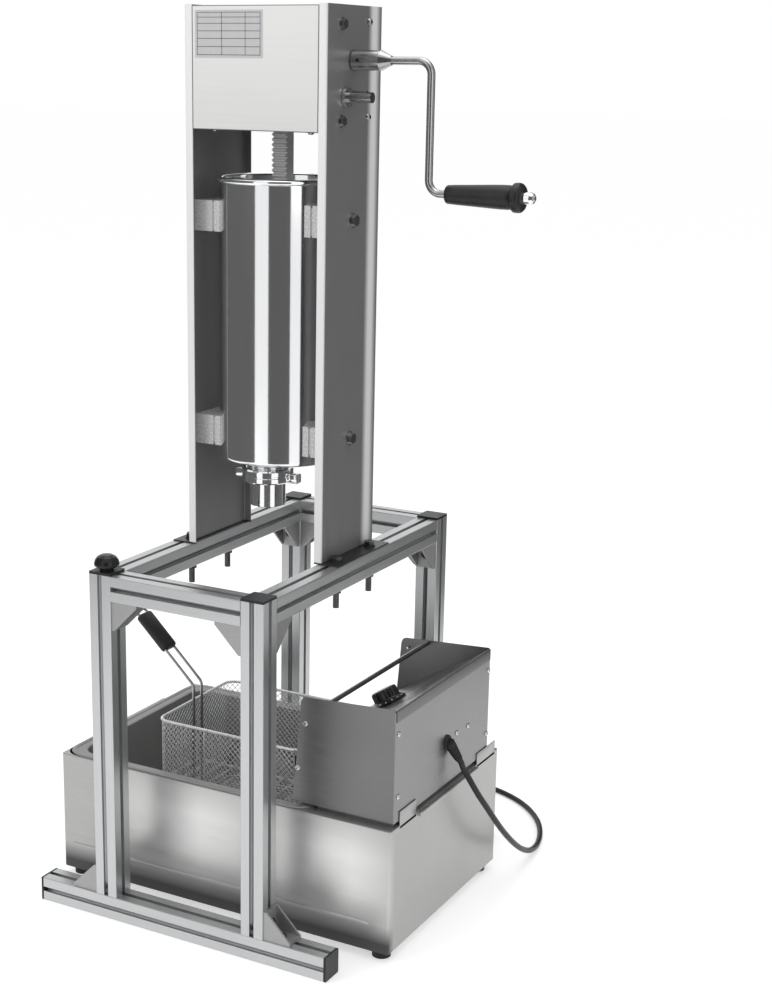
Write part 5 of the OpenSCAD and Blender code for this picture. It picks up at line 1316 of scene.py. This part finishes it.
class MakeStage(bpy.types.Operator):
    """Make the floor, the lamps, the flags and the white surroundings"""

    bl_idname = "churro.make_stage"
    bl_label = "Studio"

    def execute(self, context):
        settings = context.scene.studio_settings
        self.make_floor(settings)
        self.make_world(settings)
        self.lamp("key_lamp", (-2.3, -2.7, 2.3), settings.key_power, 2.6)
        self.lamp("fill_lamp", (3.0, -1.6, 1.8), settings.fill_power, 2.0)
        self.lamp("top_lamp", (0.2, 0.2, 3.4), settings.top_power, 2.2)
        # Grey flags that only polished metal sees: (name, azimuth, width, distance, low, high, grey)
        for flag in (
            ("flag_left", -57, 3.3, 2.1, 0.02, 3.2, 0.13),
            ("flag_front", 26, 1.64, 2.3, 0.02, 3.2, 0.12),
            ("flag_side", 92, 1.25, 2.2, 0.02, 3.2, 0.36),
            ("flag_right", 152, 1.9, 1.5, 0.02, 3.4, 0.1),
        ):
            self.flag(*flag)
        bpy.context.scene.view_settings.view_transform = "Standard"
        return {"FINISHED"}

    def seen(self, tree):
        """1 for rays that show the surroundings, else 0."""
        path = new_node(tree, "LightPath").outputs
        total = joined(tree, "MAXIMUM", path["Is Camera Ray"], path["Is Glossy Ray"])
        return joined(tree, "MAXIMUM", total, path["Is Transmission Ray"])

    def make_world(self, settings):
        world = bpy.data.worlds.new("studio")
        bpy.context.scene.world = world
        world.use_nodes = True
        tree = world.node_tree
        background = tree.nodes["Background"]
        background.inputs["Color"].default_value = (1, 1, 1, 1)
        strength = spread(tree, self.seen(tree), 0, 1, settings.sky_light, 1.0)
        tree.links.new(strength, background.inputs["Strength"])

    def make_floor(self, settings):
        bm = bmesh.new()
        bmesh.ops.create_circle(bm, cap_ends=True, segments=64, radius=60)
        mesh = mesh_from("floor", bm)
        floor = link_object("floor", mesh)
        floor.location.z = -0.0005
        material, tree, shader = start_finish("pale_floor")
        shader.inputs["Base Color"].default_value = (*settings.floor_colour, 1)
        shader.inputs["Roughness"].default_value = 0.8
        shader.inputs["Specular IOR Level"].default_value = 0.0
        strength = spread(tree, self.seen(tree), 0, 1, 0, 0.46)
        glow = new_node(tree, "Emission", color=(1, 1, 1, 1), strength=strength)
        total = tree.nodes.new("ShaderNodeAddShader")
        tree.links.new(shader.outputs[0], total.inputs[0])
        tree.links.new(glow.outputs[0], total.inputs[1])
        tree.links.new(total.outputs[0], tree.nodes["Material Output"].inputs["Surface"])
        mesh.materials.append(material)

    def lamp(self, name, place, power, size):
        data = bpy.data.lights.new(name, "AREA")
        data.shape = "SQUARE"
        data.size = size
        data.energy = power
        lamp = link_object(name, data)
        lamp.location = place
        aim = Vector((-0.05, 0, 0.65)) - Vector(place)
        lamp.rotation_euler = aim.to_track_quat("-Z", "Y").to_euler()
        lamp.visible_camera = False

    def flag(self, name, azimuth, width, distance, bottom, top, grey):
        bm = bmesh.new()
        bmesh.ops.create_grid(bm, x_segments=1, y_segments=1, size=0.5)
        move(bm, Matrix.Diagonal((width, top - bottom, 1, 1)))
        move(bm, Matrix.Rotation(math.radians(90), 4, "X"))
        move(bm, Matrix.Translation((0, -distance, (top + bottom) / 2)))
        move(bm, Matrix.Rotation(math.radians(azimuth), 4, "Z"))
        move(bm, Matrix.Translation((PRESS_X, 0, 0)))
        mesh = mesh_from(name, bm)
        flag = link_object(name, mesh)
        material, tree, shader = start_finish(name)
        tree.nodes.remove(shader)
        glow = new_node(tree, "Emission", color=(grey, grey, grey, 1))
        tree.links.new(glow.outputs[0], tree.nodes["Material Output"].inputs["Surface"])
        mesh.materials.append(material)
        flag.visible_camera = False
        flag.visible_diffuse = False
        flag.visible_transmission = False
        flag.visible_shadow = False


class ChurroPanel(bpy.types.Panel):
    """The machine's settings and pieces"""

    bl_idname = "VIEW3D_PT_churro_maker"
    bl_label = "Churro maker"
    bl_space_type = "VIEW_3D"
    bl_region_type = "UI"
    bl_category = "Churro maker"

    def draw(self, context):
        layout = self.layout
        for name in SETTINGS:
            box = layout.box()
            settings = getattr(context.scene, name)
            for key in settings.__annotations__:
                box.prop(settings, key)
        for step in STEPS:
            layout.operator(step.bl_idname)


SETTINGS = {
    "studio_settings": StudioSettings,
    "stand_settings": StandSettings,
    "press_settings": PressSettings,
    "fryer_settings": FryerSettings,
    "lead_settings": LeadSettings,
}
STEPS = (
    PlaceCamera, MakeFinishes, MakeLead, MakeBarrel, MakeNozzle, MakeCover, MakeCrank,
    MakeFryer, MakeHead, MakeBasket, MakeStage,
)


def register():
    for group in SETTINGS.values():
        bpy.utils.register_class(group)
    for name, group in SETTINGS.items():
        setattr(bpy.types.Scene, name, bpy.props.PointerProperty(type=group))
    for step in STEPS:
        bpy.utils.register_class(step)
    bpy.utils.register_class(ChurroPanel)


def unregister():
    bpy.utils.unregister_class(ChurroPanel)
    for step in reversed(STEPS):
        bpy.utils.unregister_class(step)
    for name, group in SETTINGS.items():
        delattr(bpy.types.Scene, name)
        bpy.utils.unregister_class(group)


def main():
    """Make the whole machine."""
    register()
    bpy.ops.churro.place_camera()
    bpy.ops.churro.make_finishes()
    bpy.ops.churro.make_lead()
    bpy.ops.churro.make_barrel()
    bpy.ops.churro.make_nozzle()
    bpy.ops.churro.make_cover()
    bpy.ops.churro.make_crank()
    bpy.ops.churro.make_fryer()
    bpy.ops.churro.make_head()
    bpy.ops.churro.make_basket()
    bpy.ops.churro.make_stage()
    bpy.context.view_layer.update()


if __name__ == "__main__":
    main()
